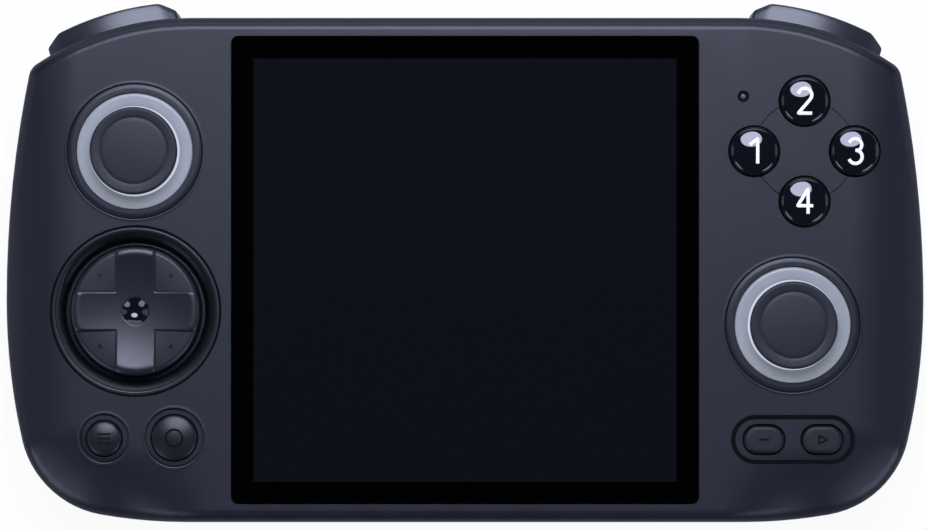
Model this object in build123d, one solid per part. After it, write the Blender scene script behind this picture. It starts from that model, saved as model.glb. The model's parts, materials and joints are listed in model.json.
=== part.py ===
"""A handheld game console with a square screen, two thumb sticks, a cross pad and shoulder buttons.

X runs across the face, Y up the face and Z out of it, in millimetres. The console lies on its
back, so Z is zero where the two grips rest, and the origin is under the middle of the whole body.
"""

from build123d import *
import os
from math import asin, cos, hypot, radians, sin, sqrt

# Outline of the body, seen from the front
half_width = 77.5
half_height = 42.55
widest_drop = 5.1  # the body is widest this far below its middle
side_upper_radius = 188.0
side_lower_radius = 105.0
lower_corner_radius = 16.5
bottom_radius = 80.0
bottom_turn = 10.0  # degrees that the bottom arc turns
top_radius = 47.5
top_flat_inset = 31.2  # from the widest side to the end of the straight top edge
upper_corner_radius = 3.0

# Heights of the body
face_z = 23.0
seam_z = 17.0  # the covers meet here
back_z = 6.0  # flat middle of the back
wall = 1.8
crown_width = 12.5  # the face rolls off over this width at each side
crown_radius = 30.0
front_edge_radius = 2.1
rear_edge_radius = 3.0

# Grips on the back. An inset is always measured from the body's widest side.
grip_crest_inset = 17.5
grip_valley_inset = 39.5
grip_depth = 6.4  # below the flat middle, before the resting flats are cut
grip_side_rise = 4.2
grip_station_shares = (-1.18, -0.86, -0.5, -0.08, 0.34, 0.66, 1.18)
grip_depth_shares = (0.42, 0.8, 1.0, 1.0, 0.78, 0.3, 0.06)
grip_pocket_floor_z = 1.9
grip_pocket_low_length = 32.0
grip_pocket_low_width = 12.0
grip_pocket_high_length = 62.0
grip_pocket_high_width = 30.0
grip_pocket_inset = 14.5
grip_pocket_high_inset = 18.0
grip_pocket_y = -12.0
grip_pocket_high_y = -9.0

# Clearances and the overrun of every cut
running = 0.05
slip = 0.1
gap = 0.3
overrun = 2.0

# Screen
wing_width = 38.12  # from the widest side to the glass
glass_border = 3.17  # from the top and bottom edges to the glass
glass_corner = 1.2
glass_thickness = 0.9
glass_reveal = 0.05  # the glass lies this far under the face
adhesive_thickness = 0.15
display_margin = 2.05
display_thickness = 1.9
display_gap = 0.3
frame_rib_width = 3.0
frame_rib_depth = 2.2
glass_edge_chamfer = 0.25

# Board and what stands on it
board_thickness = 1.2
board_inset = 3.9
board_hole_gap = 0.5
shield_side = 28.0
shield_height = 1.6
shield_y = 8.0
battery_width = 58.0
battery_length = 42.0
battery_thickness = 5.0
battery_y = -4.0

# Thumb sticks
left_stick_inset = 21.84
left_stick_y = 20.02
right_stick_inset = 22.29
right_stick_y = -9.26
ring_outer = 9.75
ring_bore = 7.0
ring_proud = 0.2
ring_slope = 0.9
ring_depth = 2.2
ring_flange = 1.1
ring_flange_thickness = 1.0
ring_recess_radius = 11.45
ring_recess_depth = 0.45
ring_trench_width = 0.4  # a narrow shadow line just inside the recess's edge
ring_trench_depth = 0.95
pivot_depth = 6.0  # from the face down to the stick's pivot
skirt_radius = 7.7
skirt_thickness = 0.7
skirt_low_angle = 70.0
skirt_high_angle = 24.0
neck_radius = 3.2
cap_radius = 7.38
cap_under_radius = 4.6
cap_under_rise = 2.9
cap_edge_rise = 3.8
cap_top_rise = 5.2
cap_edge_round = 0.45
cap_rim_width = 1.65
cap_dish_depth = 0.75
stem_radius = 1.5
stem_socket_floor = 1.2
base_side = 18.0
base_floor_z = 12.5
base_bore_radius = 8.15
base_bore_drop = 1.0  # from the pivot down to the floor of the bore
base_rim_rise = 0.8
base_corner = 1.2
ear_reach = 2.6
ear_width = 5.0
ear_hole_radius = 0.8
turret_radius = 6.2
turret_wall = 1.1
turret_rise = 1.3
yoke_pin_radius = 0.8
yoke_pin_gap = 0.35
lower_yoke_width = 3.0
lower_yoke_height = 2.0
lower_yoke_eye = 2.9
hub_radius = 2.2
hub_half_height = 1.1
hub_pin_radius = 0.6
upper_yoke_inner = 3.4
upper_yoke_thickness = 0.9
upper_yoke_width = 4.6
upper_yoke_leg = 1.6
yoke_slot_gap = 0.15
stick_screw_radius = 0.7
stick_screw_head_radius = 1.3
stick_screw_head_height = 0.6
press_travel = 0.4

# Cross pad
pad_inset = 21.99
pad_y = -6.92
pad_radius = 11.0
pad_skirt_flare = 0.45
pad_arm_width = 6.8
pad_arm_length = 20.0
pad_rise = 1.6
pad_quadrant_rise = 0.5
pad_dish_radius = 60.0
pad_arm_fillet = 0.35
pad_dimple_radius = 2.3
pad_dimple_half_width = 2.0
pad_mark_spot = 5.95
pad_mark_side = 1.5
pad_mark_depth = 0.25
pad_flange_radius = 12.2
pad_flange_thickness = 0.8
pad_flange_drop = 1.25  # free height above the flange, so the far side can lift
well_groove_radius = 14.5
well_groove_width = 0.4
well_groove_depth = 0.7
well_lip_radius = 13.45
well_radius = 11.75
well_depth = 1.5
well_slope_shares = (0.3, 0.45)
pad_stem_radius = 1.6
pad_tip_radius = 0.8
pillar_radius = 2.2
pillar_gap = 0.2
pillar_top_drop = 0.1
pivot_height = 1.4  # of the pad's pivot above the board

# Face buttons
cluster_inset = 20.3
cluster_y = 20.02
cluster_radius = 8.47
cluster_groove_radius = 8.62
cluster_groove_width = 0.35
cluster_groove_depth = 0.5
face_button_radius = 4.1
face_hole_radius = 4.42
face_button_rise = 2.0
face_button_dome = 0.75
face_button_bevel = 0.45
flange_width = 0.9
flange_thickness = 1.0

# Small buttons
menu_inset = 16.71
menu_y = -28.37
menu_radius = 2.97
menu_recess_radius = 4.15
menu_rise = 0.85
menu_dome = 0.45
shortcut_inset = 28.51
shortcut_y = -28.27
shortcut_radius = 3.87
shortcut_recess_radius = 5.0
shortcut_rise = 0.95
shortcut_dome = 0.6
small_recess_depth = 0.25
small_trench_width = 0.3
small_trench_depth = 0.8
small_hole_gap = 0.2
small_button_bevel = 0.3
option_pair_inset = 22.24
option_y = -28.57
option_spacing = 9.8
option_length = 7.0
option_height = 4.9
option_rise = 0.6
option_groove_length = 20.9
option_groove_height = 8.3
option_groove_width = 0.75
option_groove_depth = 0.9
option_mark_depth = 0.2
option_mark_size = 1.7
option_bar_width = 0.55

# Rubber membranes
sheet_thickness = 0.8
dome_taper = 0.8
dome_inset = 0.5
membrane_margin = 1.6

# Shoulder buttons, in their own frame on the right shoulder
shoulder_turn = 16.4  # degrees from the top of the top arc
shoulder_half = 11.3
shoulder_crown_half = 8.9
shoulder_proud = 2.8
shoulder_end_proud = 0.1
shoulder_round = 0.5
shoulder_crown_corner = 4.5
shoulder_end_corner = 1.6
notch_half = 11.65
notch_outer_extra = 0.35
notch_wall_v = -6.4
notch_wall_thickness = 1.2
bumper_low_z = 14.2
bumper_high_z = 19.4
bumper_inner_v = -4.0
bumper_wall = 1.5
bumper_pivot_u = -13.2
bumper_pivot_v = -6.6
bumper_eye_radius = 2.0
bumper_arm_low_z = 14.8
bumper_arm_high_z = 18.4
bumper_pin_radius = 1.0
bumper_plunger_u = 5.0
bumper_plunger_side = 2.4
trigger_high_z = 13.7
trigger_tip_z = 2.6
trigger_axis_v = -4.0
trigger_axis_z = 12.2
trigger_pin_radius = 1.0
trigger_pin_reach = 1.5
trigger_boss_radius = 1.45
trigger_boss_length = 1.6
trigger_inner_v = -4.1
trigger_tip_outer_v = 1.5
trigger_tip_inner_v = -0.9
trigger_waist_v = 1.9
trigger_waist_z = 6.4
trigger_heel_v = -3.6
trigger_heel_z = 5.4
rib_thickness = 1.6
rib_top_z = 14.0
pad_board_length = 17.0
pad_board_thickness = 0.8
pad_board_low_z = 8.8
pad_board_high_z = 18.4
key_pad_length = 4.4
key_pad_height = 2.6

# Top edge: volume rocker, power key and video socket
volume_x = -25.0
volume_length = 13.0
power_x = 26.0
power_length = 8.0
edge_key_height = 3.0
edge_key_z = 14.0
edge_key_proud = 0.15  # the photo shows no key past the top edge
edge_key_flange = 1.0
edge_key_flange_thickness = 0.8
volume_flange_gap = 0.6
power_flange_gap = 0.1
volume_swing_gap = 0.35
edge_key_corner = 1.3
volume_nub_radius = 0.9
edge_key_seat_gap = 0.25
edge_key_travel = 0.4
switch_gap = 0.1
video_x = 4.0
video_width = 11.2
video_height = 3.2

# Bottom edge: charging socket, headphone socket, card socket and speakers
charge_x = 0.0
charge_width = 8.94
charge_height = 3.2
socket_wall = 0.32
socket_length = 7.3
socket_set_back = 0.3
socket_tongue_thickness = 0.7
socket_tongue_inset = 1.1
socket_hole_gap = 0.35
phone_x = -17.0
phone_bore_radius = 1.8
phone_barrel_radius = 2.5
phone_length = 12.0
phone_block_width = 6.4
phone_barrel_reach = 2.2
card_x = 15.0
card_width = 12.6
card_height = 1.7
card_length = 14.0
card_slot_height = 0.9
card_slot_width = 11.4
speaker_inset = 34.5
speaker_width = 15.0
speaker_depth = 4.6
speaker_height = 6.8
speaker_low_z = 8.6
speaker_corner = 1.0
grille_slots = 7
grille_pitch = 2.3
grille_width = 1.1
grille_low_z = 9.8
grille_high_z = 14.6
vent_slots = 6
vent_pitch = 5.0
vent_width = 1.6
vent_length = 11.0
vent_y = 27.0

# Status light
light_inset = 30.6
light_y = 29.28
light_radius = 0.97
light_sink = 0.45
light_pipe_radius = 0.6

# Screws and posts
screw_low_inset = 9.0
screw_low_y = -29.5
screw_side_inset = 8.2
screw_side_y = 27.0
screw_high_inset = 34.1
screw_high_y = 32.6
boss_radius = 2.4
boss_low_z = 12.0
tower_radius = 3.0
tower_gap = 0.1
screw_radius = 1.0
screw_head_radius = 1.9
screw_head_height = 1.3
screw_head_seat = 2.4  # thickness of the tower's end that the head clamps
screw_length = 7.0
screw_recess_radius = 0.75
screw_recess_depth = 0.7
board_post_inset = 35.0
board_post_high_y = 8.0
board_post_low_y = -22.0
board_post_radius = 1.8
board_screw_radius = 0.7
board_screw_head_radius = 1.5
board_screw_head_height = 0.8
board_screw_length = 3.6

# Sizes that follow from the ones above
top_flat_half = half_width - top_flat_inset
crown_start = half_width - crown_width
grip_crest_x = half_width - grip_crest_inset
grip_valley_x = half_width - grip_valley_inset
grip_pocket_x = half_width - grip_pocket_inset
grip_pocket_high_x = half_width - grip_pocket_high_inset
glass_size = (2 * (half_width - wing_width), 2 * (half_height - glass_border))
display_size = tuple(side - 2 * display_margin for side in glass_size)
opening_size = tuple(side + 2 * display_gap for side in display_size)
left_stick_x = left_stick_inset - half_width
right_stick_x = half_width - right_stick_inset
pad_x = pad_inset - half_width
cluster_x = half_width - cluster_inset
menu_x = menu_inset - half_width
shortcut_x = shortcut_inset - half_width
option_pair_x = half_width - option_pair_inset
speaker_x = half_width - speaker_inset
light_x = half_width - light_inset
screw_low_x = half_width - screw_low_inset
screw_side_x = half_width - screw_side_inset
screw_high_x = half_width - screw_high_inset
board_post_x = half_width - board_post_inset
board_top_z = seam_z
board_low_z = board_top_z - board_thickness
under_face_z = face_z - wall
flange_top_z = under_face_z - slip
flange_low_z = flange_top_z - flange_thickness
glass_top_z = face_z - glass_reveal
glass_low_z = glass_top_z - glass_thickness
ledge_z = glass_low_z - adhesive_thickness
display_low_z = glass_low_z - display_thickness
pivot_z = face_z - pivot_depth
pad_pivot_z = board_top_z + pivot_height
pad_flange_top_z = under_face_z - pad_flange_drop
pad_flange_low_z = pad_flange_top_z - pad_flange_thickness
top_centre = (top_flat_half, half_height - top_radius)
sticks = {"left": (left_stick_x, left_stick_y), "right": (right_stick_x, right_stick_y)}
face_spots = {
    "right": (cluster_x + cluster_radius, cluster_y),
    "lower": (cluster_x, cluster_y - cluster_radius),
    "upper": (cluster_x, cluster_y + cluster_radius),
    "left": (cluster_x - cluster_radius, cluster_y),
}
option_spots = {
    "select": (option_pair_x - option_spacing / 2, option_y),
    "start": (option_pair_x + option_spacing / 2, option_y),
}


def disc(radius, low, high, x=0, y=0):
    """A round bar from one height to another."""
    return Pos(x, y, (low + high) / 2) * Cylinder(radius, high - low)


def slab(width, length, low, high, x=0, y=0, corner=0):
    """A block from one height to another, with its upright edges rounded."""
    plan = RectangleRounded(width, length, corner) if corner else Rectangle(width, length)
    return Pos(x, y, low) * extrude(plan, high - low)


def lozenge(length, height, low, high, x=0, y=0):
    """A block with round ends, from one height to another."""
    return Pos(x, y, low) * extrude(SlotOverall(length, height), high - low)


def turned(points):
    """A solid turned about the upright axis from a closed outline of (radius, height) points."""
    profile = Polyline(*[(radius, height) for radius, height in points], close=True)
    return revolve(Plane.XZ * make_face(profile), Axis.Z)


def edge_bar(width, height, low_y, high_y, x, z, corner):
    """A bar that runs along Y through the top or bottom wall, with its long edges rounded."""
    plan = RectangleRounded(width, height, corner) if corner else Rectangle(width, height)
    bar = extrude(Plane.XZ * plan, high_y - low_y)
    return Pos(x, high_y, z) * bar


def both_sides(shape):
    """The shape and its mirror image on the left."""
    return shape + mirror(shape, Plane.YZ)


def arc_about(centre, start, end):
    """The short arc from start to end about a centre."""
    across = (start[0] + end[0] - 2 * centre[0], start[1] + end[1] - 2 * centre[1])
    reach = hypot(start[0] - centre[0], start[1] - centre[1])
    share = reach / hypot(*across)
    middle = (centre[0] + across[0] * share, centre[1] + across[1] * share)
    return ThreePointArc(start, middle, end)


def upper_crossing(centre_a, radius_a, centre_b, radius_b):
    """Where two circles cross, at the upper of the two places."""
    step = (centre_b[0] - centre_a[0], centre_b[1] - centre_a[1])
    span = hypot(*step)
    along = (radius_a**2 - radius_b**2 + span**2) / (2 * span)
    across = sqrt(radius_a**2 - along**2)
    foot = (centre_a[0] + step[0] * along / span, centre_a[1] + step[1] * along / span)
    ends = [
        (foot[0] - side * step[1] * across / span, foot[1] + side * step[0] * across / span)
        for side in (1, -1)
    ]
    return max(ends, key=lambda end: end[1])


def outline(inset=0):
    """The body's outline. Each arc keeps its centre as the outline moves in, so the curves stay parallel."""
    turn = radians(bottom_turn)
    rise = half_height - widest_drop - lower_corner_radius * cos(turn) - bottom_radius * (1 - cos(turn))
    side_turn = asin(rise / (side_lower_radius - lower_corner_radius))
    upper = (half_width - side_upper_radius, -widest_drop)
    side = (half_width - side_lower_radius, -widest_drop)
    reach = side_lower_radius - lower_corner_radius
    corner = (side[0] + reach * cos(side_turn), side[1] - reach * sin(side_turn))
    reach = bottom_radius - lower_corner_radius
    bottom = (corner[0] - reach * sin(turn), corner[1] + reach * cos(turn))
    small = lower_corner_radius - inset
    large = side_lower_radius - inset
    points = [
        (bottom[0], inset - half_height),
        (corner[0] + small * sin(turn), corner[1] - small * cos(turn)),
        (side[0] + large * cos(side_turn), side[1] - large * sin(side_turn)),
        (half_width - inset, -widest_drop),
        upper_crossing(upper, side_upper_radius - inset, top_centre, top_radius - inset),
        (top_flat_half, half_height - inset),
    ]
    centres = [bottom, corner, side, upper, top_centre]
    right = [arc_about(c, a, b) for c, a, b in zip(centres, points, points[1:])]
    flip = [(-x, y) for x, y in points]
    left = [arc_about((-c[0], c[1]), a, b) for c, a, b in zip(centres, flip, flip[1:])]
    shape = make_face([Line(flip[0], points[0]), Line(points[-1], flip[-1]), *right, *left])
    rounding = upper_corner_radius - inset
    if rounding > slip:
        corner_x = points[4][0]
        sharp = [v for v in shape.vertices() if abs(abs(v.X) - corner_x) < slip]
        shape = fillet(sharp, rounding)
    return shape


def under_crown(drop=0):
    """All that lies under the crowned face, or under a parallel face lower by drop."""
    reach = half_width + overrun
    low = seam_z - overrun
    radius = crown_radius - drop
    centre_z = face_z - crown_radius
    span = reach - crown_start
    side_z = centre_z + sqrt(radius**2 - span**2)
    right = arc_about((crown_start, centre_z), (crown_start, face_z - drop), (reach, side_z))
    left = arc_about((-crown_start, centre_z), (-reach, side_z), (-crown_start, face_z - drop))
    flat = Line((-crown_start, face_z - drop), (crown_start, face_z - drop))
    base = Polyline((reach, side_z), (reach, low), (-reach, low), (-reach, side_z))
    return extrude(Plane.XZ * make_face([flat, right, base, left]), half_height + overrun, both=True)


def grip_section(y, share):
    """One cross-section of the right grip: down from the flat middle to the crest, then up to the side."""
    crest = back_z - grip_depth * share
    side = crest + grip_side_rise
    reach = half_width + overrun
    top = seam_z + overrun
    down = Spline((grip_valley_x, back_z), (grip_crest_x, crest), tangents=((1, 0), (1, 0)))
    rise = Spline((grip_crest_x, crest), (reach, side), tangents=((1, 0), (1, 1)))
    rest = Polyline((reach, side), (reach, top), (grip_valley_x, top), (grip_valley_x, back_z))
    plane = Plane(origin=(0, y, 0), x_dir=(1, 0, 0), z_dir=(0, -1, 0))
    return plane * make_face([down, rise, rest])


def above_back():
    """All that lies above the sculpted back: a flat middle and a lofted grip on each side."""
    sections = [
        grip_section(station * half_height, share)
        for station, share in zip(grip_station_shares, grip_depth_shares)
    ]
    middle = slab(2 * grip_valley_x, 2 * half_height + 2 * overrun, back_z, seam_z + overrun)
    return middle + both_sides(loft(sections))


def grip_pocket():
    """The drafted pocket that makes the right grip hollow."""
    low = Pos(grip_pocket_x, grip_pocket_y, grip_pocket_floor_z)
    high = Pos(grip_pocket_high_x, grip_pocket_high_y, back_z + wall + slip)
    return loft(
        [
            low * Rectangle(grip_pocket_low_width, grip_pocket_low_length),
            high * Rectangle(grip_pocket_high_width, grip_pocket_high_length),
        ]
    )


def rim_edges(shape, low, high):
    """The edges round the side walls between two heights, without the upright ones."""
    walls = [f for f in shape.faces() if abs(f.normal_at().Z) < slip]
    found = []
    for face in walls:
        for edge in face.edges():
            box = edge.bounding_box()
            level = box.size.Z < max(box.size.X, box.size.Y)
            if low < edge.center().Z < high and level and edge not in found:
                found.append(edge)
    return found


def on_shoulder(shape):
    """Places a shape drawn in the right shoulder's frame: X along the edge, Y outwards."""
    turn = radians(shoulder_turn)
    x = top_centre[0] + top_radius * sin(turn)
    y = top_centre[1] + top_radius * cos(turn)
    return Pos(x, y, 0) * Rot(0, 0, -shoulder_turn) * shape


def box_between(low, high):
    """A block between two corners."""
    size = [b - a for a, b in zip(low, high)]
    middle = [(a + b) / 2 for a, b in zip(low, high)]
    return Pos(*middle) * Box(*size)


def pivot_bar(radius, low, high):
    """A round bar on the right bumper's pivot, in the body's frame."""
    return on_shoulder(disc(radius, low, high, bumper_pivot_u, bumper_pivot_v))


def bumper_notch():
    """The room that a bumper needs in the front cover, in the shoulder's frame."""
    return box_between(
        (-notch_half, notch_wall_v, seam_z - overrun),
        (notch_half + notch_outer_extra, shoulder_proud + overrun, bumper_high_z + gap),
    )


def boss_spots():
    """The case screws' places, on both sides."""
    spots = ((screw_low_x, screw_low_y), (screw_side_x, screw_side_y), (screw_high_x, screw_high_y))
    return [(side * x, y) for x, y in spots for side in (1, -1)]


def post_spots():
    """The board posts' places, on both sides."""
    heights = (board_post_high_y, board_post_low_y)
    return [(side * board_post_x, y) for y in heights for side in (1, -1)]


def well_cutter():
    """The cross pad's well: a funnel in two slopes from the face down to the hole."""
    middle = well_radius + (well_lip_radius - well_radius) * well_slope_shares[0]
    middle_z = face_z - well_depth * well_slope_shares[1]
    low = under_face_z - overrun
    return turned(
        [
            (0, low),
            (well_radius, low),
            (well_radius, face_z - well_depth),
            (middle, middle_z),
            (well_lip_radius, face_z),
            (well_lip_radius, face_z + overrun),
            (0, face_z + overrun),
        ]
    )


def ring_groove(radius, width, depth):
    """A thin groove cut in the face."""
    high = face_z + overrun
    return disc(radius, face_z - depth, high) - disc(radius - width, face_z - depth, high)


def option_groove():
    """The groove round the pair of option buttons."""
    low = face_z - option_groove_depth
    high = face_z + overrun
    inner_length = option_groove_length - 2 * option_groove_width
    inner_height = option_groove_height - 2 * option_groove_width
    outer = lozenge(option_groove_length, option_groove_height, low, high)
    return outer - lozenge(inner_length, inner_height, low, high)


def front_cover():
    """The front shell, with the screen frame, button holes, screw bosses and board posts."""
    body = Pos(0, 0, seam_z) * extrude(outline(), face_z - seam_z + overrun)
    body = body & under_crown()
    body = fillet(rim_edges(body, seam_z + wall / 2, face_z + slip), front_edge_radius)
    hollow = Pos(0, 0, seam_z - overrun) * extrude(outline(wall), face_z - seam_z + overrun)
    cover = body - (hollow & under_crown(wall))
    ribs = [side + 2 * frame_rib_width for side in opening_size]
    cover += slab(*ribs, under_face_z - frame_rib_depth, under_face_z)
    for x, y in boss_spots():
        cover += disc(boss_radius, boss_low_z, under_face_z + slip, x, y)
    for x, y in post_spots():
        cover += disc(board_post_radius, board_top_z, under_face_z + slip, x, y)
    top = under_face_z + slip
    cover += both_sides(pivot_bar(bumper_eye_radius, bumper_arm_high_z + gap, top))
    pocket = [side + 2 * slip for side in glass_size]
    cuts = [
        slab(*pocket, ledge_z, face_z + overrun, 0, 0, glass_corner + slip),
        slab(*opening_size, boss_low_z, face_z),
        both_sides(on_shoulder(bumper_notch())),
        Pos(pad_x, pad_y, 0) * well_cutter(),
        Pos(pad_x, pad_y, 0) * ring_groove(well_groove_radius, well_groove_width, well_groove_depth),
        Pos(option_pair_x, option_y, 0) * option_groove(),
        Pos(cluster_x, cluster_y, 0)
        * ring_groove(cluster_groove_radius, cluster_groove_width, cluster_groove_depth),
        disc(light_radius, face_z - light_sink, face_z + overrun, light_x, light_y),
        disc(light_pipe_radius + running, seam_z, face_z, light_x, light_y),
    ]
    for x, y in sticks.values():
        cuts.append(disc(ring_recess_radius, face_z - ring_recess_depth, face_z + overrun, x, y))
        cuts.append(Pos(x, y, 0) * ring_groove(ring_recess_radius, ring_trench_width, ring_trench_depth))
        cuts.append(disc(ring_outer + running, seam_z, face_z, x, y))
        cuts.append(disc(ring_outer + ring_flange + gap, seam_z, under_face_z, x, y))
    for x, y in face_spots.values():
        cuts.append(disc(face_hole_radius, seam_z, face_z + overrun, x, y))
        cuts.append(disc(face_button_radius + flange_width + gap, seam_z, under_face_z, x, y))
    for x, y, radius, recess in small_round_buttons():
        cuts.append(disc(radius + small_hole_gap, seam_z, face_z + overrun, x, y))
        cuts.append(disc(recess, face_z - small_recess_depth, face_z + overrun, x, y))
        cuts.append(Pos(x, y, 0) * ring_groove(recess, small_trench_width, small_trench_depth))
    for x, y in option_spots.values():
        length = option_length + 2 * small_hole_gap
        height = option_height + 2 * small_hole_gap
        cuts.append(lozenge(length, height, seam_z, face_z + overrun, x, y))
    for x, y in boss_spots():
        cuts.append(disc(screw_radius + running, boss_low_z - overrun, screw_top_z() + running, x, y))
    for x, y in post_spots():
        top = board_screw_top_z() + running
        cuts.append(disc(board_screw_radius + running, board_top_z - overrun, top, x, y))
    cuts.append(both_sides(pivot_bar(bumper_pin_radius + running, seam_z - overrun, under_face_z)))
    for cut in cuts:
        cover -= cut
    return cover


def small_round_buttons():
    """Place, radius and recess radius of the two small round buttons."""
    return (
        (menu_x, menu_y, menu_radius, menu_recess_radius),
        (shortcut_x, shortcut_y, shortcut_radius, shortcut_recess_radius),
    )


def screw_top_z():
    """Height of a case screw's tip."""
    return screw_seat_z() + screw_length


def screw_seat_z():
    """Height that a case screw's head bears on."""
    return boss_low_z - tower_gap - screw_head_seat


def board_screw_top_z():
    """Height of a board screw's tip."""
    return board_low_z + board_screw_length


def trigger_notch():
    """The room for a shoulder's trigger and bumper in the rear cover, open to the back."""
    return box_between(
        (-notch_half, notch_wall_v, -overrun),
        (notch_half, shoulder_proud + overrun, seam_z + overrun),
    ) + box_between(
        (-notch_half, notch_wall_v, rib_top_z),
        (notch_half + notch_outer_extra, shoulder_proud + overrun, seam_z + overrun),
    )


def trigger_housing():
    """The wall behind the trigger and the two ribs that carry its pins."""
    outer = notch_half + rib_thickness
    wall_block = box_between(
        (-outer, notch_wall_v - notch_wall_thickness, 0),
        (outer, notch_wall_v, rib_top_z),
    )
    ribs = box_between((-outer, notch_wall_v, 0), (outer, shoulder_proud, rib_top_z))
    ribs -= box_between(
        (-notch_half, notch_wall_v, -overrun),
        (notch_half, shoulder_proud + overrun, rib_top_z + overrun),
    )
    return wall_block + ribs


def u_bar(radius, low, high, v, z):
    """A round bar along the shoulder's edge."""
    return Pos((low + high) / 2, v, z) * Rot(0, 90, 0) * Cylinder(radius, high - low)


def key_hole(x, length, space):
    """The hole for a key in the top wall, wider than the key by space on every side."""
    low = half_height - wall - overrun
    high = half_height + overrun
    height = edge_key_height + 2 * space
    return edge_bar(length + 2 * space, height, low, high, x, edge_key_z, edge_key_corner)


def edge_openings():
    """Cuts through the top and bottom walls of the rear cover."""
    top_low = half_height - wall - overrun
    top_high = half_height + overrun
    cuts = [
        key_hole(volume_x, volume_length, volume_swing_gap),
        key_hole(power_x, power_length, slip),
        edge_bar(
            video_width + 2 * socket_hole_gap,
            video_height + 2 * socket_hole_gap,
            top_low,
            top_high,
            video_x,
            video_z(),
            socket_corner(video_height),
        ),
        edge_bar(
            charge_width + 2 * socket_hole_gap,
            charge_height + 2 * socket_hole_gap,
            -top_high,
            -top_low,
            charge_x,
            charge_z(),
            socket_corner(charge_height),
        ),
    ]
    slot_corner = card_height / 2 - slip
    cuts.append(edge_bar(card_slot_width, card_height, -top_high, -top_low, card_x, card_z(), slot_corner))
    phone = extrude(Plane.XZ * Circle(phone_barrel_radius + slip), top_high - top_low)
    cuts.append(Pos(phone_x, -top_low, phone_z()) * phone)
    slot_z = (grille_low_z + grille_high_z) / 2
    for side in (1, -1):
        for number in range(grille_slots):
            x = side * speaker_x + (number - (grille_slots - 1) / 2) * grille_pitch
            height = grille_high_z - grille_low_z
            cuts.append(edge_bar(grille_width, height, -top_high, -top_low, x, slot_z, 0))
    return cuts


def socket_corner(height):
    """Corner radius of a socket's hole, just short of a half round."""
    return height / 2 - slip


def video_z():
    """Middle height of the video socket, hung from the board."""
    return board_low_z - video_height / 2


def charge_z():
    """Middle height of the charging socket, hung from the board."""
    return board_low_z - charge_height / 2


def card_z():
    """Middle height of the card socket, hung from the board."""
    return board_low_z - card_height / 2


def phone_z():
    """Middle height of the headphone socket, hung from the board."""
    return board_low_z - phone_barrel_radius


def rear_cover():
    """The rear shell, with the grips, screw towers, trigger housings, vents and edge openings."""
    body = extrude(outline(), seam_z) & above_back()
    body = fillet(rim_edges(body, -overrun, seam_z - wall), rear_edge_radius)
    room = extrude(outline(wall), seam_z)
    floor = slab(2 * half_width, 2 * half_height, back_z + wall, seam_z + overrun)
    cover = body - (extrude(outline(wall), seam_z + overrun) & (floor + both_sides(grip_pocket())))
    extras = []
    eye = pivot_bar(bumper_eye_radius, back_z, bumper_arm_low_z - gap)
    for extra in (on_shoulder(trigger_housing()), eye):
        extras += [extra, mirror(extra, Plane.YZ)]
    for x, y in boss_spots():
        extras.append(disc(tower_radius, 0, boss_low_z - tower_gap, x, y))
    for extra in extras:
        cover += extra & room & body
    cover -= both_sides(on_shoulder(trigger_notch()))
    pin_reach = notch_half + rib_thickness
    pin = u_bar(trigger_pin_radius + running, -pin_reach, pin_reach, trigger_axis_v, trigger_axis_z)
    cover -= both_sides(on_shoulder(pin))
    cover -= both_sides(pivot_bar(bumper_pin_radius + running, bumper_pin_low_z(), seam_z))
    for x, y in boss_spots():
        cover -= disc(screw_radius + slip, 0, boss_low_z, x, y)
        cover -= disc(screw_head_radius + slip, -overrun, screw_seat_z(), x, y)
    for cut in edge_openings():
        cover -= cut
    for number in range(vent_slots):
        x = (number - (vent_slots - 1) / 2) * vent_pitch
        slot = Rot(0, 0, 90) * lozenge(vent_length, vent_width, 0, back_z + wall + overrun)
        cover -= Pos(x, vent_y, 0) * slot
    return cover


def bumper_pin_low_z():
    """Lower end of a bumper's hinge pin, sunk in its post."""
    return bumper_arm_low_z - gap - bumper_pin_radius * 2


def screen_glass():
    """The cover glass, bevelled round its front edge."""
    glass = slab(*glass_size, glass_low_z, glass_top_z, 0, 0, glass_corner)
    top = glass.faces().sort_by(Axis.Z)[-1]
    return chamfer(top.edges(), glass_edge_chamfer)


def glass_adhesive():
    """The thin frame of adhesive that holds the glass to its ledge."""
    frame = slab(*glass_size, ledge_z, glass_low_z, 0, 0, glass_corner)
    return frame - slab(*opening_size, ledge_z, glass_low_z)


def display_panel():
    """The display, bonded under the glass."""
    return slab(*display_size, display_low_z, glass_low_z)


def light_ring(spot):
    """The translucent ring round a stick, sloped on its inside, with the flange that traps it."""
    top = face_z + ring_proud
    low = face_z - ring_depth
    flange = under_face_z - ring_flange_thickness
    ring = turned(
        [
            (ring_bore, low),
            (ring_outer, low),
            (ring_outer + ring_flange, flange),
            (ring_outer + ring_flange, under_face_z),
            (ring_outer, under_face_z),
            (ring_outer, top - ring_proud),
            (ring_outer - ring_proud, top),
            (ring_bore + ring_slope, top),
            (ring_bore, top - ring_slope),
        ]
    )
    return Pos(*spot, 0) * ring


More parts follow.
